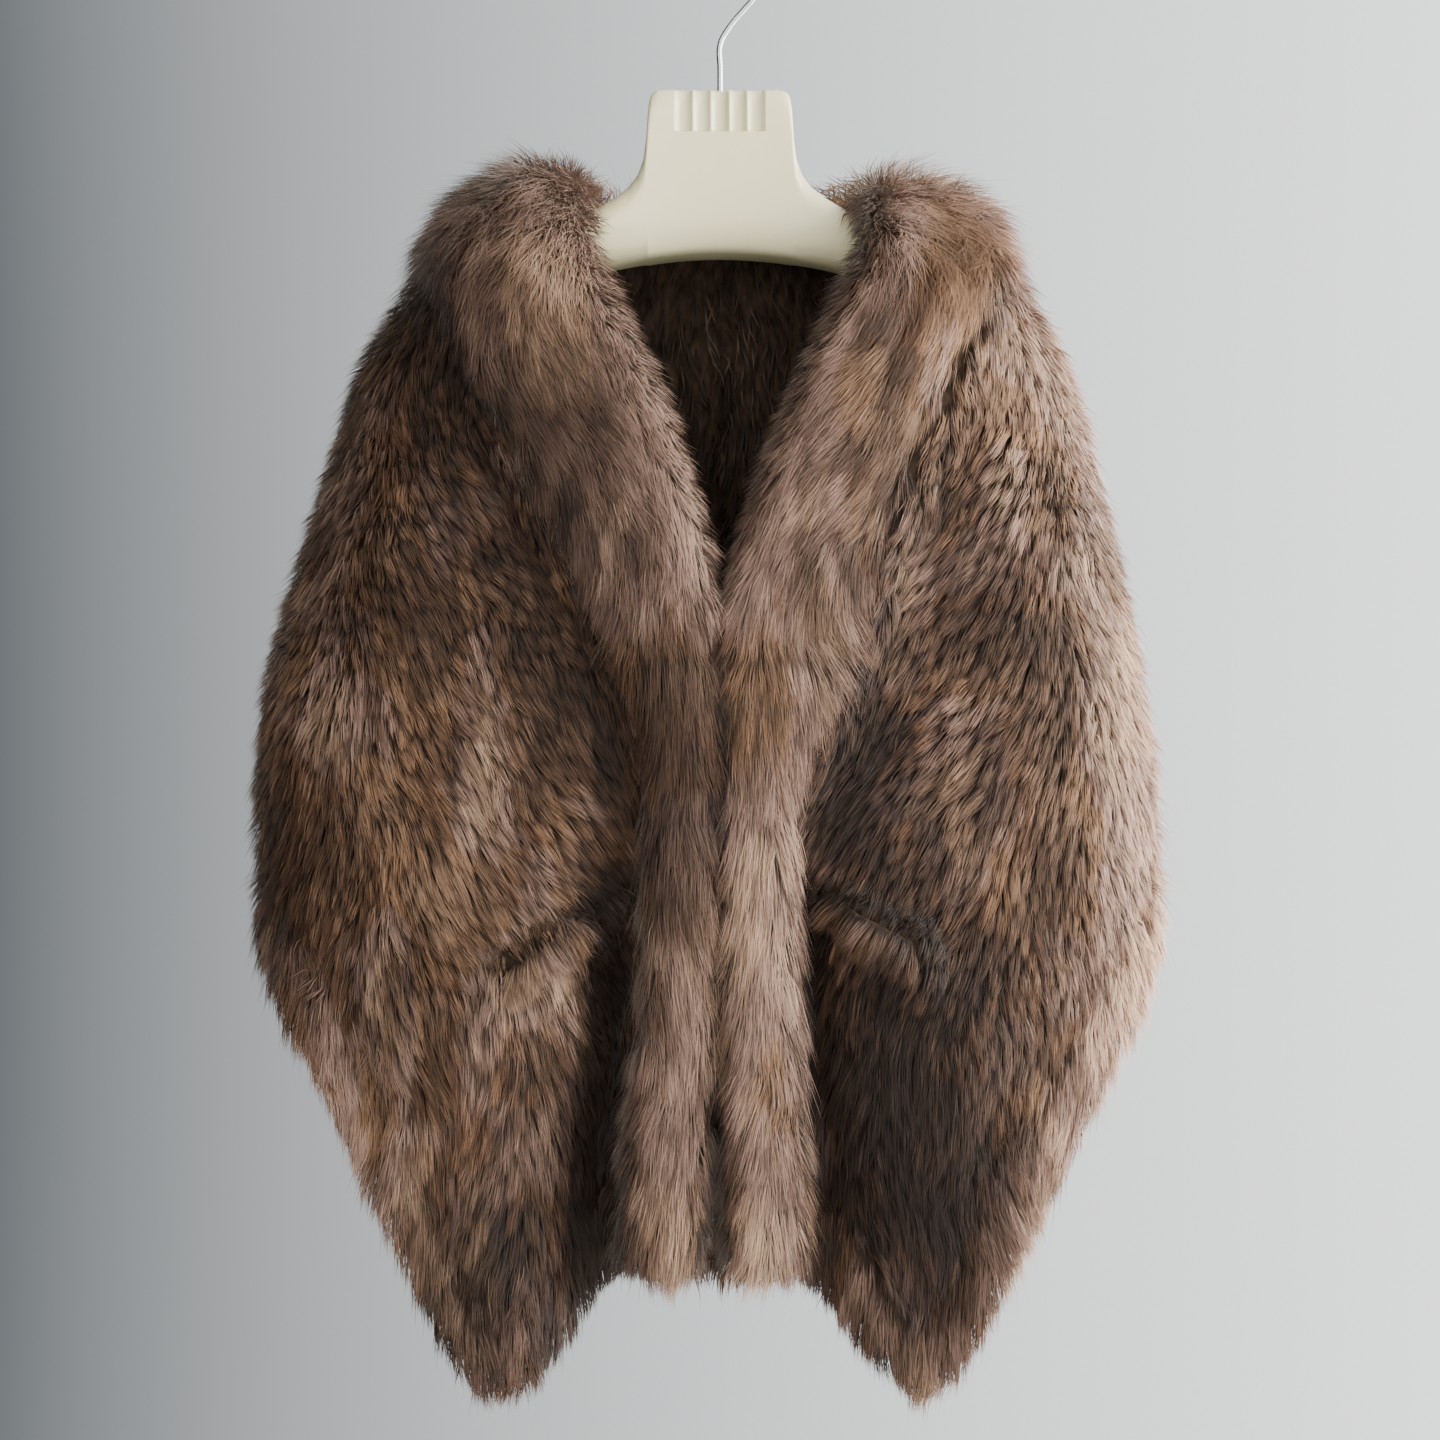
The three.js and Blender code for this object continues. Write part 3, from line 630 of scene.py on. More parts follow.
# Painted light and shade, partly the fur's own tone: how much paler or darker the patches make each
# place.
def painted_light_shade_and_tone(point):
    x, y, z = point.T
    change = np.zeros(len(x))
    for row in LIGHT_SHADE_AND_TONE_PATCHES.values():
        oval = ((x - row["x"]) / row["wide"]) ** 2 + ((z - row["z"]) / row["high"]) ** 2
        change += row["pale"] * np.exp(-oval)
    return change * (1 - soft_step(y, *PATCH_FADE))


# %% [markdown]
# A strand is a narrow ribbon. It leaves the hide at an angle, bends over along the lay of the fur
# and ends in a point. Neighbouring strands lean in to a shared tip, which gives the small locks
# that real fur falls into. All strands of a piece are worked out together as arrays.

# %% Growing strands
SEGMENTS = 2
RIBBON_BROAD = np.array([0.85, 0.9])
UPRIGHT_LEAN = 1.25
UPRIGHT_SHORTER = 0.45
LEAN_AT_ROOT = 1.65
LEAN_LOST = 1.3


def strand_curves(point, normal, flow, length, rise, wander, rng):
    """Points of each strand: it starts steep, and bends over along the lay of the fur."""
    count = len(point)
    along = flow - normal * (flow * normal).sum(axis=1, keepdims=True)
    level = np.linalg.norm(along, axis=1, keepdims=True)
    along = unit(along + 0.02 * rng.normal(size=along.shape))
    upright = 1 - soft_step(level[:, 0], 0.15, 0.6)
    length = length * (1 - UPRIGHT_SHORTER * upright)
    lean = np.arcsin(np.clip(rise / length, 0, 0.9))
    lean = lean * (1 - upright) + UPRIGHT_LEAN * upright
    side = np.cross(normal, along)
    drift = wander * rng.normal(size=(count, 1))
    curve = np.empty((count, SEGMENTS + 1, 3))
    curve[:, 0] = point
    for step in range(1, SEGMENTS + 1):
        part = (step - 0.5) / SEGMENTS
        angle = (lean * (LEAN_AT_ROOT - LEAN_LOST * part))[:, None]
        heading = np.cos(angle) * along + np.sin(angle) * normal + drift * part * side
        heading = heading + 0.05 * rng.normal(size=(count, 3))
        curve[:, step] = curve[:, step - 1] + unit(heading) * (length / SEGMENTS)[:, None]
    return curve


FLAT_HALF = 0.2
ROUND_SIDE = 0.093
BRICKS = 4099
BRICK_JITTER = 0.28
TIP_APART = 0.22
GATHER_CURVE = 1.15


def unrolled(point):
    """How far round the wrap each point lies from its centre front, and how low."""
    x, y, z = point.T
    across = np.abs(x)
    angle = np.arctan2(across - FLAT_HALF, -y)
    round_part = FLAT_HALF + ROUND_SIDE * angle
    behind = 2 * FLAT_HALF + ROUND_SIDE * np.pi - across
    along = np.where(across > FLAT_HALF, round_part, np.where(y < 0, across, behind))
    return np.column_stack([np.sign(x) * along, -z])


def lock_centres(point, wide, high, rng):
    """The strand nearest to the middle of each brick of a loose brick pattern."""
    flat = unrolled(point)
    row = np.floor(flat[:, 1] / high)
    shifted = flat[:, 0] / wide + 0.5 * (row % 2)
    column = np.floor(shifted)
    brick = (row * BRICKS + column).astype(int)
    jitter = rng.uniform(-BRICK_JITTER, BRICK_JITTER, (BRICKS, 2))[brick % BRICKS]
    off = np.column_stack([shifted - column - 0.5, flat[:, 1] / high - row - 0.5]) - jitter
    order = np.lexsort((np.linalg.norm(off, axis=1), brick))
    _, first = np.unique(brick[order], return_index=True)
    return order[first]


def nearest_of(point, leaders):
    """For each strand, the strand that leads its lock."""
    tree = KDTree(len(leaders))
    for slot, leader in enumerate(leaders):
        tree.insert(point[leader], slot)
    tree.balance()
    return np.array([leaders[tree.find(root)[1]] for root in point])


def gather_locks(curve, nearest, gather):
    """Draw each strand's tip towards its leader's."""
    part = np.linspace(0, 1, curve.shape[1])[None, :, None]
    apart = (curve[:, :1] - curve[nearest][:, :1]) * TIP_APART
    target = curve[nearest] + apart
    pull = gather[:, None, None] * part**GATHER_CURVE
    return curve + (target - curve) * pull


def ribbons(curve, normal, width, rng):
    """Vertices and normals of each strand, as a ribbon with a pointed tip."""
    count = len(curve)
    heading = unit(curve[:, -1] - curve[:, 0])
    turn = rng.uniform(-1.0, 1.0, (count, 1))
    cross = unit(np.cross(normal, heading))
    facing = unit(np.cos(turn) * np.cross(heading, cross) + np.sin(turn) * cross)
    flip = np.sign((facing * normal).sum(axis=1, keepdims=True))
    facing = facing * np.where(flip == 0, 1, flip)
    edge = np.cross(heading, facing)
    half = edge[:, None] * (width[:, None, None] / 2) * RIBBON_BROAD[None, :, None]
    body = curve[:, :-1]
    rows = np.stack([body - half, body + half], axis=2).reshape(count, -1, 3)
    vertices = np.concatenate([rows, curve[:, -1:]], axis=1)
    shade = unit(normal * 0.85 + facing * 0.45)
    return vertices, shade


def strand_faces(count):
    """Corner numbers of each ribbon: quads up to the last step, then the tip's triangle."""
    quads = [(low, low + 1, low + 3, low + 2) for low in range(0, 2 * SEGMENTS - 2, 2)]
    tip = [2 * SEGMENTS - 2, 2 * SEGMENTS - 1, 2 * SEGMENTS]
    loops = np.array([corner for quad in quads for corner in quad] + tip)
    starts = 4 * np.arange(SEGMENTS)
    per_strand = 2 * SEGMENTS + 1
    all_loops = (loops[None] + per_strand * np.arange(count)[:, None]).ravel()
    all_starts = (starts[None] + len(loops) * np.arange(count)[:, None]).ravel()
    return all_loops, all_starts, loops


TONE_HALF = 0.003
TIP_PLACE = 0.99


def fur_piece(name, strands, material):
    """One joined mesh. strands is a list of (curve, normal, tone, width, start) arrays."""
    curve, normal, tone, width, start = (np.concatenate(rows) for rows in zip(*strands))
    count = len(curve)
    vertices, shade = ribbons(curve, normal, width, np.random.default_rng(count))
    loops, starts, pattern = strand_faces(count)
    mesh = bpy.data.meshes.new(name)
    mesh.vertices.add(vertices.shape[0] * vertices.shape[1])
    mesh.vertices.foreach_set("co", vertices.astype(np.float32).ravel())
    mesh.loops.add(len(loops))
    mesh.loops.foreach_set("vertex_index", loops.astype(np.int32))
    mesh.polygons.add(len(starts))
    mesh.polygons.foreach_set("loop_start", starts.astype(np.int32))
    mesh.update(calc_edges=True)
    mesh.polygons.foreach_set("use_smooth", np.ones(len(starts), bool))
    layer = mesh.uv_layers.new(name="OFBake")
    step = np.minimum(pattern // 2, SEGMENTS)
    across = np.where(pattern == 2 * SEGMENTS, 0, np.where(pattern % 2 == 0, -1, 1))
    u = tone[:, None] + TONE_HALF * across[None]
    v = start[:, None] + (TIP_PLACE - start[:, None]) * (step / SEGMENTS)[None]
    layer.data.foreach_set("uv", np.stack([u, v], axis=2).astype(np.float32).ravel())
    per_vertex = np.repeat(shade, vertices.shape[1], axis=0)
    mesh.normals_split_custom_set_from_vertices(per_vertex)
    mesh.materials.append(material)
    piece = linked(name, mesh)
    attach(piece, "root")
    print(name, count, "strands,", count * (2 * SEGMENTS - 1), "triangles")


# %% [markdown]
# The colour of a strand depends on where it grows. The knitted body mixes brown and rust locks
# with dark gaps, where the dark hide shows and where the locks' edge strands are darkened as
# painted shade; the roll of the collar is a mauve brown made paler by painted light, the borders
# are tan, and the sides take paler, tanner strands as painted light.
# A lock keeps to one family of the palette, so that the colours come in streaks.

# %% Colours of the strands
FAMILY_MIX = {
    "front": (0.44, 0.18, 0.29, 0.09),
    "back": (0.46, 0.18, 0.27, 0.09),
    "border": (0.26, 0.16, 0.26, 0.32),
    "collar": (0.28, 0.11, 0.49, 0.12),
    "band": (0.20, 0.12, 0.38, 0.30),
    "pocket": (0.36, 0.16, 0.36, 0.12),
}
PALE = {
    "middle": 0.56, "lock": 0.055, "strand": 0.09, "roll": 0.17, "whole": -0.04, "band": 0.05,
    "neck_edge": -0.45, "lock_edge": -0.23, "knitted": 0.02, "valley": -0.90, "slit": -0.62,
}
PALE_KINDS = {"border": 0.08, "pocket": -0.06}
CALM_ROLL = 0.68
CALM_BAND = 0.4
MAUVE_ROLL = 4.0
PATCH_TO_TAN = 0.40
PICK_RANGE = (0.22, 0.56)


def colour_of(node, point, nearest, edge, rng):
    """Where in the palette each strand lies: which family, and how pale within it."""
    x, _, z = point.T
    patch = noise(point, 0.060, 11) * 0.6 + noise(point, 0.022, 12) * 0.4
    streak = noise(point * np.array([1, 1, 0.3]), 0.009, 13)
    lock = rng.normal(size=len(point))[nearest]
    kind = node.split("_")[0]
    roll = shaded = np.zeros(len(x))
    band = 1.0 if kind in ("band", "pocket") else 0.0
    if node in FRONT_COLLARS:
        inward = from_neck_edge(x, z)
        roll = 1 - soft_step(inward, 0.018, 0.040)
        # Painted shadow on the inner edge of the left collar, which turns away from the window
        # lamp.
        shaded = (1 - soft_step(inward, 0.006, 0.026)) * (1 - soft_step(-z, 0.37, 0.43)) * (x > 0)
        band = soft_step(-z, 0.37, 0.46)
    calm = (1 - CALM_ROLL * roll * (1 - band)) * (1 - CALM_BAND * band)
    whole = 0.0 if kind in ("front", "back") else 1.0
    uneven = (0.70 - 0.34 * whole) * (patch - 0.5) + (0.40 + 0.25 * whole) * (streak - 0.5)
    pale = PALE["middle"] + calm * (uneven + PALE["lock"] * lock)
    # The patches add painted light and shade, and partly the fur's own tone.
    pale += PALE["strand"] * rng.normal(size=len(point)) + painted_light_shade_and_tone(point)
    # The collar's roll is made paler: painted light on the tips of its hair.
    pale += (PALE["roll"] * roll + PALE["whole"] * whole) * (1 - band) + PALE["band"] * band
    # Painted shadow: the left collar's inner edge is made darker.
    pale += PALE["neck_edge"] * shaded
    pale += PALE_KINDS.get(kind, 0)
    if kind in ("front", "back"):
        # Strands at the edge of a lock are made darker: painted shade in the gaps between locks.
        pale += PALE["lock_edge"] * edge + PALE["knitted"]
    # Painted shade: strands in the fold valleys and in the pocket slits are made darker.
    pale += PALE["valley"] * valley_depth(point) + PALE["slit"] * slit_depth(point)
    mix = np.array(FAMILY_MIX[kind])[None] * np.ones((len(x), 1))
    if kind == "collar":
        blend = band * np.ones(len(x))
        mix = mix * (1 - blend[:, None]) + np.array(FAMILY_MIX["band"]) * blend[:, None]
        top = soft_step(z, -0.30, -0.22)
        mix[:, 2] += MAUVE_ROLL * roll * (1 - blend) + 1.0 * top * (x < 0.12)
        mix[:, 1] += 0.5 * top * (x > 0.12)
    share = np.cumsum(mix, axis=1)
    share /= share[:, -1:]
    streaks = np.array([1, 1, 0.25 if whole else 0.6])
    pick = 0.72 * noise(point * streaks, 0.030, 14) + 0.14 * noise(point, 0.010, 15)
    # Where the patches paint light, the strands lean to the pale tan family.
    pick += PATCH_TO_TAN * np.clip(painted_light_shade_and_tone(point), 0, 1)
    pick += 0.07 * rng.random(len(point))[nearest] + 0.07 * rng.random(len(point))
    pick = np.clip((pick - PICK_RANGE[0]) / PICK_RANGE[1], 0, 0.999)
    family = (pick[:, None] > share).sum(axis=1).clip(0, len(FUR_FAMILIES) - 1)
    inside = FAMILY_EDGE + (FAMILY_SPAN - 2 * FAMILY_EDGE) * np.clip(pale, 0, 1)
    return family * FAMILY_SPAN + inside


# %% [markdown]
# Each kind of fur has one row of a table: the length and width of its strands and the width and
# height of its locks, in millimetres, and how tightly a lock gathers. Two more tables say how many
# strands grow on the outer and the inner face of each node. Fluffy fur is on the shoulders, a
# hollow is a fold or a slit, a rim is where the wrap turns away from the front, and guard hairs
# stand out beyond the others.

# %% Grow the fur
STYLES = {
    "front": {"length": 22, "width": 0.68, "lock": (8, 13), "gather": 0.67},
    "border": {"length": 29, "width": 0.78, "lock": (10, 18), "gather": 0.5},
    "collar": {"length": 30, "width": 0.66, "lock": (12, 20), "gather": 0.40},
    "band": {"length": 33, "width": 0.70, "lock": (11, 24), "gather": 0.45},
    "pocket": {"length": 22, "width": 0.7, "lock": (9, 14), "gather": 0.5},
    "collar_back": {"length": 30, "width": 1.2, "lock": (12, 20), "gather": 0.42},
    "back": {"length": 25, "width": 1.35, "lock": (9, 15), "gather": 0.70},
    "border_back": {"length": 29, "width": 1.2, "lock": (11, 18), "gather": 0.5},
}
OUTER = {
    "front_right": 58000, "front_left": 56000, "border_right": 11000, "border_left": 11000,
    "collar_right": 25000, "collar_left": 23000, "band_right": 15000, "band_left": 14000,
    "pocket_lip_right": 2600, "pocket_lip_left": 2400, "collar_back": 11500,
    "back_right": 16500, "back_left": 15500, "border_back": 8000,
}
INNER = {
    "back_right": 3700, "back_left": 3700, "front_right": 3600, "front_left": 3600,
    "border_back": 900, "border_right": 700, "border_left": 700,
}
INNER_LENGTH = 24
INNER_WIDTH = 1.8
GUARD_SHARE = 0.16
FUR_REACH = 14 * MM
SPARE_ROOTS = 2.4
SWIRL_SEED = 21
LENGTH_SEED = 31
LOCK_EDGE = (0.25, 0.62)
FLUFFY_FROM = (-0.27, -0.19)
RIM_TURN = (0.55, 0.15)
LONGER_BELOW = (0.58, 0.76)
PALER_ABOVE = (-0.20, -0.14)
LONGER = {"guard": 1.2, "hollow": -0.4, "lower": 0.35, "fluffy": 0.2}
RISE = {"all": 2.5, "fluffy": 9, "pocket": 3, "guard": 0.35, "edge": -0.35, "rim": 0.35}
WANDER = {"all": 0.16, "fluffy": 0.32, "rim": 0.14, "inner": 0.4}
WIDER = {"guard": 0.65, "fluffy": -0.4, "rim": -0.2}
PALER_ROOT = {"all": 0.01, "fluffy": 0.5, "top": 0.2, "pocket": 0.15}


def roots_on(node, count, outer, rng):
    """Roots on one face of a node. The ends that lie against another piece stay bare."""
    point, normal, pile = scatter(node, int(count * SPARE_ROOTS), rng)
    keep = faces_out(point, normal) == outer
    if node in FRONT_COLLARS:
        keep &= (normal[:, 2] > -0.3) | (point[:, 2] > -0.42)
    if node.startswith("band"):
        keep &= (normal[:, 2] < 0.3) | (point[:, 2] < -0.50)
    if node.startswith("pocket"):
        keep &= (normal[:, 2] < 0.5) & (np.abs(normal[:, 0]) < 0.6)
    return [row[keep][:count] for row in (point, normal, pile)]


def neck_trim(point):
    """How much of its length each strand keeps near the neck's edge, where the V is open."""
    x, y, z = point.T
    by_neck = 1 - soft_step(from_neck_edge(x, z), 0.004, 0.030)
    by_neck *= (1 - soft_step(-z, 0.35, 0.41)) * (y < 0)
    return 1 - 0.35 * by_neck


def grow(node, count, outer, seed):
    """The strands of one face of a node: their points, normals, tones, widths and starts."""
    rng = np.random.default_rng(seed)
    point, normal, pile = roots_on(node, count, outer, rng)
    row = STYLES[node if node in STYLES else node.split("_")[0]]
    wide, high = (size * MM for size in row["lock"])
    nearest = nearest_of(point, lock_centres(point, wide, high, rng))
    off = (unrolled(point) - unrolled(point[nearest])) / np.array([wide, high])
    edge = soft_step(np.linalg.norm(off, axis=1), *LOCK_EDGE)
    flow = lay_of_fur(node, point, SWIRL_SEED)
    hollow = np.maximum(valley_depth(point), 0.9 * slit_depth(point)) if outer else 0
    fluffy = soft_step(point[:, 2], *FLUFFY_FROM)
    rim = soft_step(np.abs(normal[:, 1]), *RIM_TURN) * outer * (1 - fluffy)
    guard = rng.random(len(point)) < GUARD_SHARE
    length = (row["length"] if outer else INNER_LENGTH) * MM
    lower = soft_step(-point[:, 2], *LONGER_BELOW) if node.startswith("front") else 0
    uneven = 0.85 + 0.3 * noise(point, 0.05, LENGTH_SEED)
    long = length * rng.uniform(0.75, 1.12, len(point)) * uneven
    if outer and node.startswith("collar"):
        long *= neck_trim(point)
    long *= np.where(guard, LONGER["guard"], 1.0) * (1 + LONGER["hollow"] * hollow) * (
        1 + LONGER["lower"] * lower + LONGER["fluffy"] * fluffy
    )
    puffed = RISE["pocket"] * node.startswith("pocket")
    rise = pile + (RISE["all"] + RISE["fluffy"] * fluffy + puffed) * MM
    rise *= rng.uniform(0.55, 1.1, len(point))
    rise *= (1 + RISE["guard"] * guard) * (1 + RISE["edge"] * edge) * (1 + RISE["rim"] * rim)
    wander = WANDER["inner"]
    if outer:
        wander = (WANDER["all"] + WANDER["fluffy"] * fluffy + WANDER["rim"] * rim)[:, None]
    curve = strand_curves(point, normal, flow, long, rise, wander, rng)
    gather = row["gather"] * rng.uniform(0.55, 1.0, len(point)) * np.where(guard, 0.5, 1.0)
    curve = gather_locks(curve, nearest, gather * (1 - 0.6 * fluffy))
    curve[..., 1] = np.clip(curve[..., 1], cad_box[0][1] - FUR_REACH, cad_box[1][1] + FUR_REACH)
    tone = colour_of(node, point, nearest, edge, rng)
    width = (row["width"] if outer else INNER_WIDTH) * MM * rng.uniform(0.7, 1.2, len(point))
    width *= np.where(guard, WIDER["guard"], 1.0)
    width *= (1 + WIDER["fluffy"] * fluffy) * (1 + WIDER["rim"] * rim)
    start = np.full(len(point), PALER_ROOT["all"])
    if outer:
        paler = PALER_ROOT["fluffy"] * fluffy
        paler += PALER_ROOT["top"] * soft_step(point[:, 2], *PALER_ABOVE)
        start += paler + PALER_ROOT["pocket"] * node.startswith("pocket")
    return curve, normal, tone, width, start


PIECES = {
    "fur_front_right": (["front_right"], body_fur, "knitted_fur"),
    "fur_front_left": (["front_left"], body_fur, "knitted_fur"),
    "fur_borders_front": (["border_right", "border_left"], body_fur, "border_fur"),
    "fur_collar_front": (["collar_right", "collar_left"], collar_fur, "collar_fur"),
    "fur_bands": (
        ["band_right", "band_left", "pocket_lip_right", "pocket_lip_left"], collar_fur, "collar_fur"
    ),
    "fur_collar_back": (["collar_back"], collar_fur, "collar_fur"),
    "fur_back": (["back_right", "back_left"], body_fur, "knitted_fur"),
    "fur_border_back": (["border_back"], body_fur, "border_fur"),
}
SEEDS_A_PIECE = 100
INNER_SEED = 900

for number, (name, (nodes, material, slot)) in enumerate(PIECES.items()):
    strands = [
        grow(node, OUTER[node], True, SEEDS_A_PIECE * number + turn)
        for turn, node in enumerate(nodes)
    ]
    fur_piece(name, strands, material)

inner = [grow(node, count, False, INNER_SEED + k) for k, (node, count) in enumerate(INNER.items())]
fur_piece("fur_inside", inner, shaded_inner_fur)

# %% [markdown]
# The hanger is one smooth moulding. Its section is a ring of points that is extruded from one tip
# to the other, and each ring is fitted to the height and depth of the hanger there. Close rings
# round the shoulders of the neck block keep its corners soft, and its front dips in five flutes.

# %% Hanger
HANGER_TOP = [
    (0, -97), (36, -97), (41, -97.8), (44, -100), (45.6, -104), (46.6, -112), (47.6, -128),
    (49.4, -142), (53, -152), (59, -160), (68, -167), (82, -175), (104, -187), (130, -200),
    (157, -214), (176, -226), (184, -234), (187, -240),
]
HANGER_DEPTH = [
    (-258, 17), (-250, 20), (-238, 23), (-214, 27), (-187, 28), (-160, 25), (-128, 22.4),
    (-106, 21.6), (-101, 20.6), (-98.2, 18.5), (-97, 16),
]
ARCH_TOP = -204
ARCH_RADIUS = 297
HANGER_HALF = 187
FLUTES = {"count": 5, "pitch": 11.6, "radius": 5.5, "deep": 3.2, "low": -126}
RIM = (0, 0.001, 0.004, 0.010, 0.019, 0.032)
TIP_LONG = 16
TIP_THICK = 3
SQUARENESS = ([6, 40, 100], [2.0, 2.8, 6.0])


def face_steps():
    """How far down the face each point lies, close together at the rims and the flutes' ends."""
    height = HANGER_TOP[0][1] - ARCH_TOP
    end = (HANGER_TOP[0][1] - FLUTES["low"]) / height
    above = np.linspace(RIM[-1], end - 0.018, 8)[1:]
    close = np.linspace(end - 0.012, end + 0.012, 7)
    below = np.linspace(end + 0.03, 1 - RIM[-1], 14)[:-1]
    rim = np.array(RIM)
    return np.concatenate([rim, above, close, below, 1 - rim[::-1]])


FACE_STEPS = face_steps()
RING_POINTS = 2 * len(FACE_STEPS) - 2


def flute_depth(x, z):
    """How far the front dips at one place."""
    nearest = round(x / FLUTES["pitch"])
    if abs(nearest) > FLUTES["count"] // 2:
        return 0
    off = (x - nearest * FLUTES["pitch"]) / FLUTES["radius"]
    groove = math.sqrt(max(0, 1 - off * off))
    return FLUTES["deep"] * groove * float(soft_step(z, FLUTES["low"] - 0.9, FLUTES["low"] + 0.3))


def hanger_ring(x):
    """The points of the hanger's section at one place across: down its front and up its back."""
    across = abs(x)
    top = np.interp(across, *zip(*HANGER_TOP))
    arch = ARCH_TOP - ARCH_RADIUS + math.sqrt(ARCH_RADIUS**2 - across**2)
    tip = float(soft_step(across, HANGER_HALF - TIP_LONG, HANGER_HALF))
    bottom = arch * (1 - tip) + (top - TIP_THICK) * tip
    square = np.interp(top - bottom, *SQUARENESS)
    points = []
    for share in FACE_STEPS:
        z = top - (top - bottom) * share
        depth = np.interp(z, *zip(*HANGER_DEPTH)) * math.sqrt(max(0.02, 1 - tip * 0.98))
        y = depth * max(0, 1 - abs(1 - 2 * share) ** square) ** (1 / square)
        points.append((y, z))
    front = [(x, -y + flute_depth(x, z) * min(1, y / 12), z) for y, z in points]
    behind = [(x, y, z) for y, z in points[-2:0:-1]]
    return [Vector(point) * MM for point in front + behind]


def hanger_places():
    """Where across the rings lie, close together at the flutes and the block's shoulders."""
    fine = np.arange(-30, 30.01, 0.95)
    neck = np.concatenate([np.arange(30, 36, 2), np.arange(36, 50, 0.7), np.arange(50, 62, 1.5)])
    arm = np.concatenate([np.arange(62, 168, 6), np.arange(168, HANGER_HALF - 1, 2)])
    side = np.concatenate([neck[1:], arm, [HANGER_HALF - 0.6]])
    return np.concatenate([-side[::-1], fine, side])


def hanger_piece():
    mesh = bmesh.new()
    bmesh.ops.create_circle(mesh, cap_ends=False, segments=RING_POINTS, radius=1)
    ring = list(mesh.verts)
    first = edges = list(mesh.edges)
    places = hanger_places()
    for vertex, point in zip(ring, hanger_ring(places[0])):
        vertex.co = point
    for x in places[1:]:
        made = bmesh.ops.extrude_edge_only(mesh, edges=edges)["geom"]
        fresh = {item for item in made if isinstance(item, bmesh.types.BMVert)}
        edges = [item for item in made if isinstance(item, bmesh.types.BMEdge)]
        edges = [edge for edge in edges if fresh.issuperset(edge.verts)]
        ring = [
            next(edge.other_vert(old) for edge in old.link_edges if edge.other_vert(old) in fresh)
            for old in ring
        ]
        for vertex, point in zip(ring, hanger_ring(x)):
            vertex.co = point
    bmesh.ops.holes_fill(mesh, edges=first + edges, sides=0)
    bmesh.ops.recalc_face_normals(mesh, faces=mesh.faces)
    data = bpy.data.meshes.new("hanger_moulding")
    mesh.to_mesh(data)
    mesh.free()
    for face in data.polygons:
        face.use_smooth = True
    piece = linked("hanger_moulding", data)
    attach(piece, "root")
    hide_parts("hanger")
    return piece


hanger = hanger_piece()
print("hanger", len(hanger.data.polygons), "faces")

# %% [markdown]
# Moulded plastic is nearly smooth. Its gloss varies a little, and its cream colour is slightly
# deeper where it has yellowed. The noise is in object space, so it stays with the moulding.

# %% Hanger finish


def plastic_material():
    material, tree, shader = new_material("cream_plastic")
    place = add_node(tree, "TexCoord")
    cloud = add_node(tree, "TexNoise", Scale=14, Detail=3)
    colours = add_node(tree, "ValToRGB")
    fill_ramp(colours, [(0.3, (0.90, 0.805, 0.47)), (0.7, (0.94, 0.86, 0.54))])
    gloss = add_node(tree, "MapRange", To_Min=0.20, To_Max=0.32)
    grain = add_node(tree, "TexNoise", Scale=900)
    bump = add_node(tree, "Bump", Strength=0.04, Distance=0.0005)
    join(
        tree,
        (place, "Object", cloud, "Vector"),
        (place, "Object", grain, "Vector"),
        (cloud, "Fac", colours, "Fac"),
        (cloud, "Fac", gloss, "Value"),
        (colours, "Color", shader, "Base Color"),
        (gloss, "Result", shader, "Roughness"),
        (grain, "Fac", bump, "Height"),
        (bump, "Normal", shader, "Normal"),
    )
    set_inputs(shader, {"Coat Weight": 0.6, "Coat Roughness": 0.12})
    set_inputs(shader, {"Subsurface Weight": 0.08, "Subsurface Radius": (0.004, 0.003, 0.002)})
    return material


hanger.data.materials.append(plastic_material())

# %% [markdown]
# The hook is one round wire, bent by hand over a former: straight out of the neck block, across to
# the side, then round in a large arc. A curve with a round bevel is the plainest way to draw it.
# Its points carry the wire's own radius.

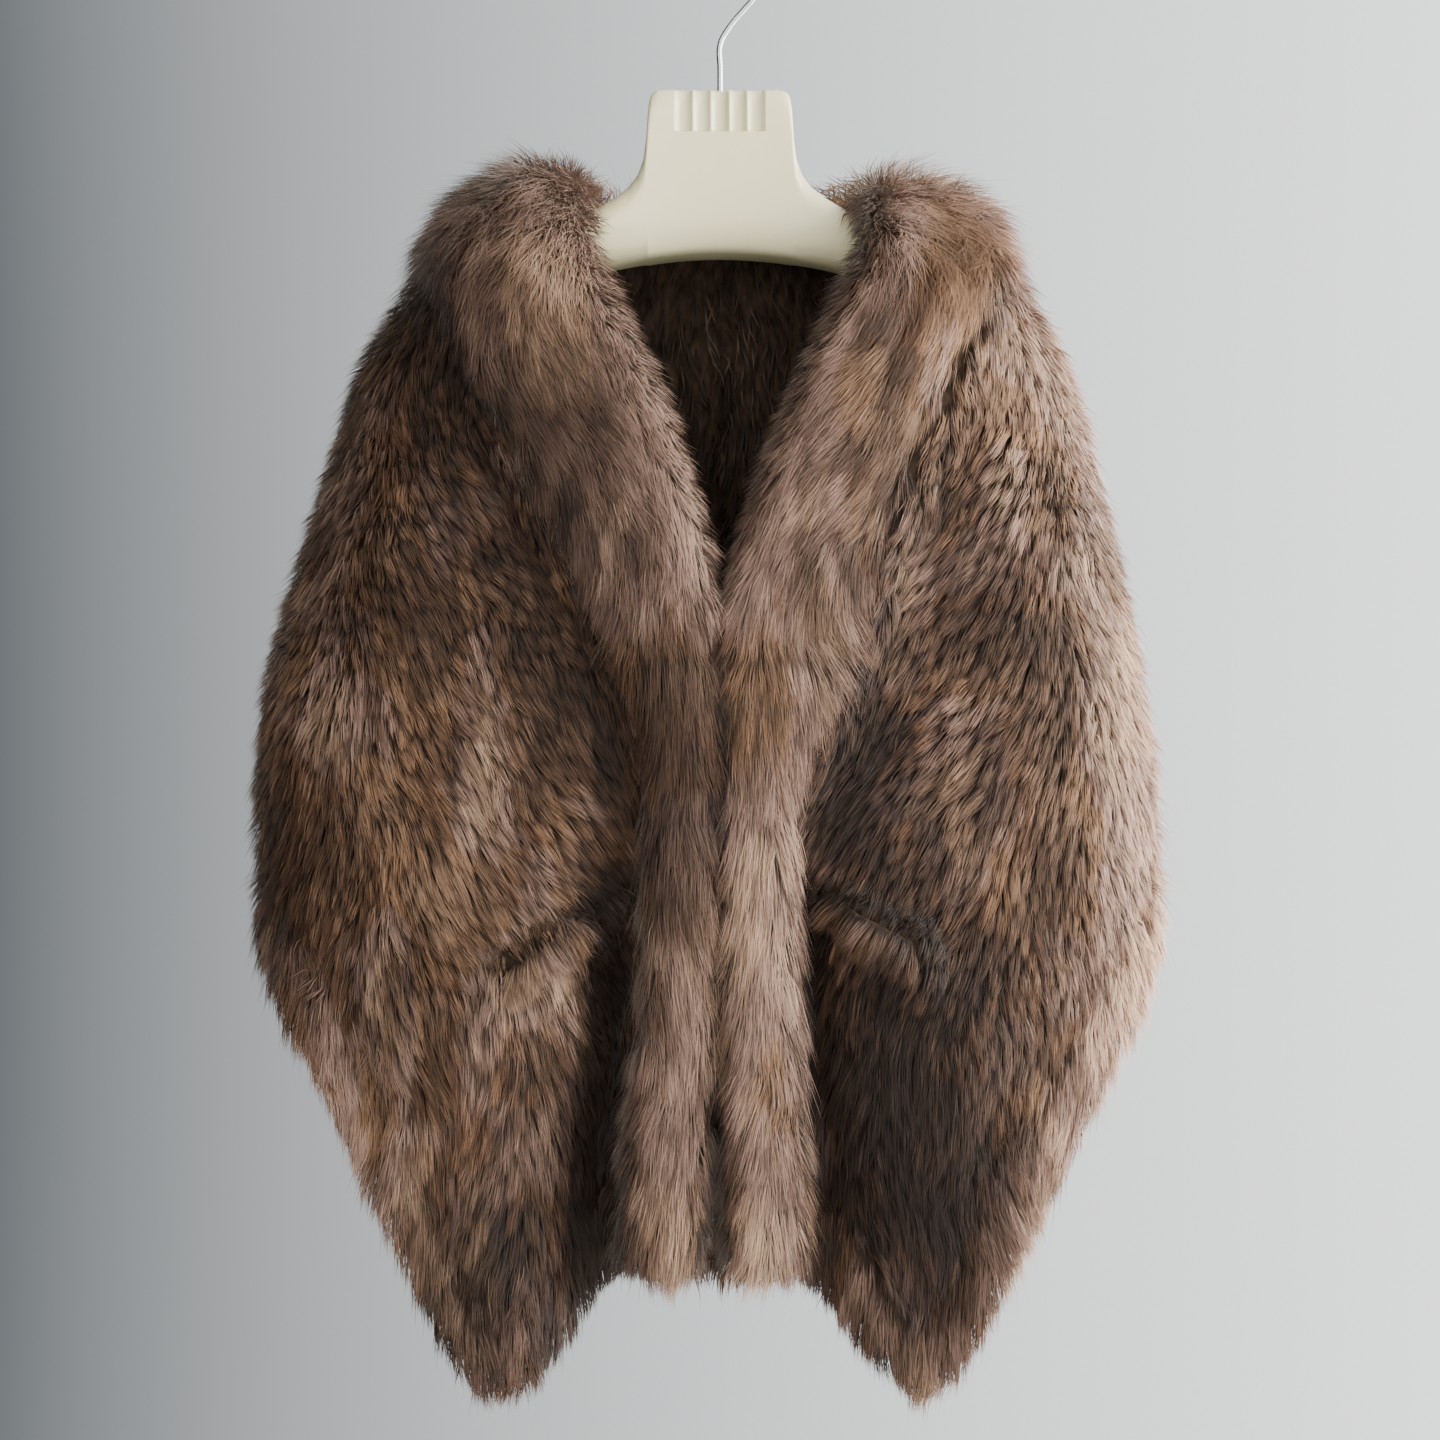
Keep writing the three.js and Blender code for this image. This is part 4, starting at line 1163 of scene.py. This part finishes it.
# %% Hook
WIRE = 1.8
WIRE_STEPS = 6
HOOK_ROUND = 25
HOOK_CENTRE = WIRE - HOOK_ROUND
HOOK_START = -48
HOOK_STOP = 205
HOOK_STEP = 11.5
SHANK_LOW = -122.7
SHANK_HIGH = -66
BLOCK_TOP = HANGER_TOP[0][1]


def hook_points():
    middle = (SHANK_HIGH + BLOCK_TOP) / 2
    points = [(0, SHANK_LOW), (0, BLOCK_TOP), (0, middle), (0, SHANK_HIGH), (5, SHANK_HIGH + 10)]
    for degrees in np.arange(HOOK_START, HOOK_STOP + 0.1, HOOK_STEP):
        angle = math.radians(degrees)
        points.append((HOOK_ROUND * math.cos(angle), HOOK_CENTRE + HOOK_ROUND * math.sin(angle)))
    return points


def hook_piece():
    data = bpy.data.curves.new("hook_wire", "CURVE")
    data.dimensions = "3D"
    data.bevel_depth = 1
    data.bevel_resolution = WIRE_STEPS
    data.resolution_u = WIRE_STEPS
    data.use_fill_caps = True
    points = hook_points()
    spline = data.splines.new("BEZIER")
    spline.bezier_points.add(len(points) - 1)
    for handle, (x, z) in zip(spline.bezier_points, points):
        handle.co = Vector((x, 0, z)) * MM
        handle.radius = WIRE * MM
        handle.handle_left_type = "AUTO"
        handle.handle_right_type = "AUTO"
    piece = linked("hook_wire", data)
    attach(piece, "root")
    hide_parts("hook")
    return piece


def steel_material():
    material, tree, shader = new_material("bright_wire")
    place = add_node(tree, "TexCoord")
    stretch = add_node(tree, "Mapping", Scale=(1, 1, 0.1))
    lines = add_node(tree, "TexNoise", Scale=1800)
    gloss = add_node(tree, "MapRange", To_Min=0.16, To_Max=0.36)
    join(
        tree,
        (place, "Object", stretch, "Vector"),
        (stretch, "Vector", lines, "Vector"),
        (lines, "Fac", gloss, "Value"),
        (gloss, "Result", shader, "Roughness"),
    )
    set_inputs(shader, {"Base Color": (0.62, 0.62, 0.63, 1), "Metallic": 1})
    return material


hook = hook_piece()
hook.data.materials.append(steel_material())

# %% [markdown]

# %% [markdown]
# The view layer is brought up to date.

# %% Finish
bpy.context.view_layer.update()
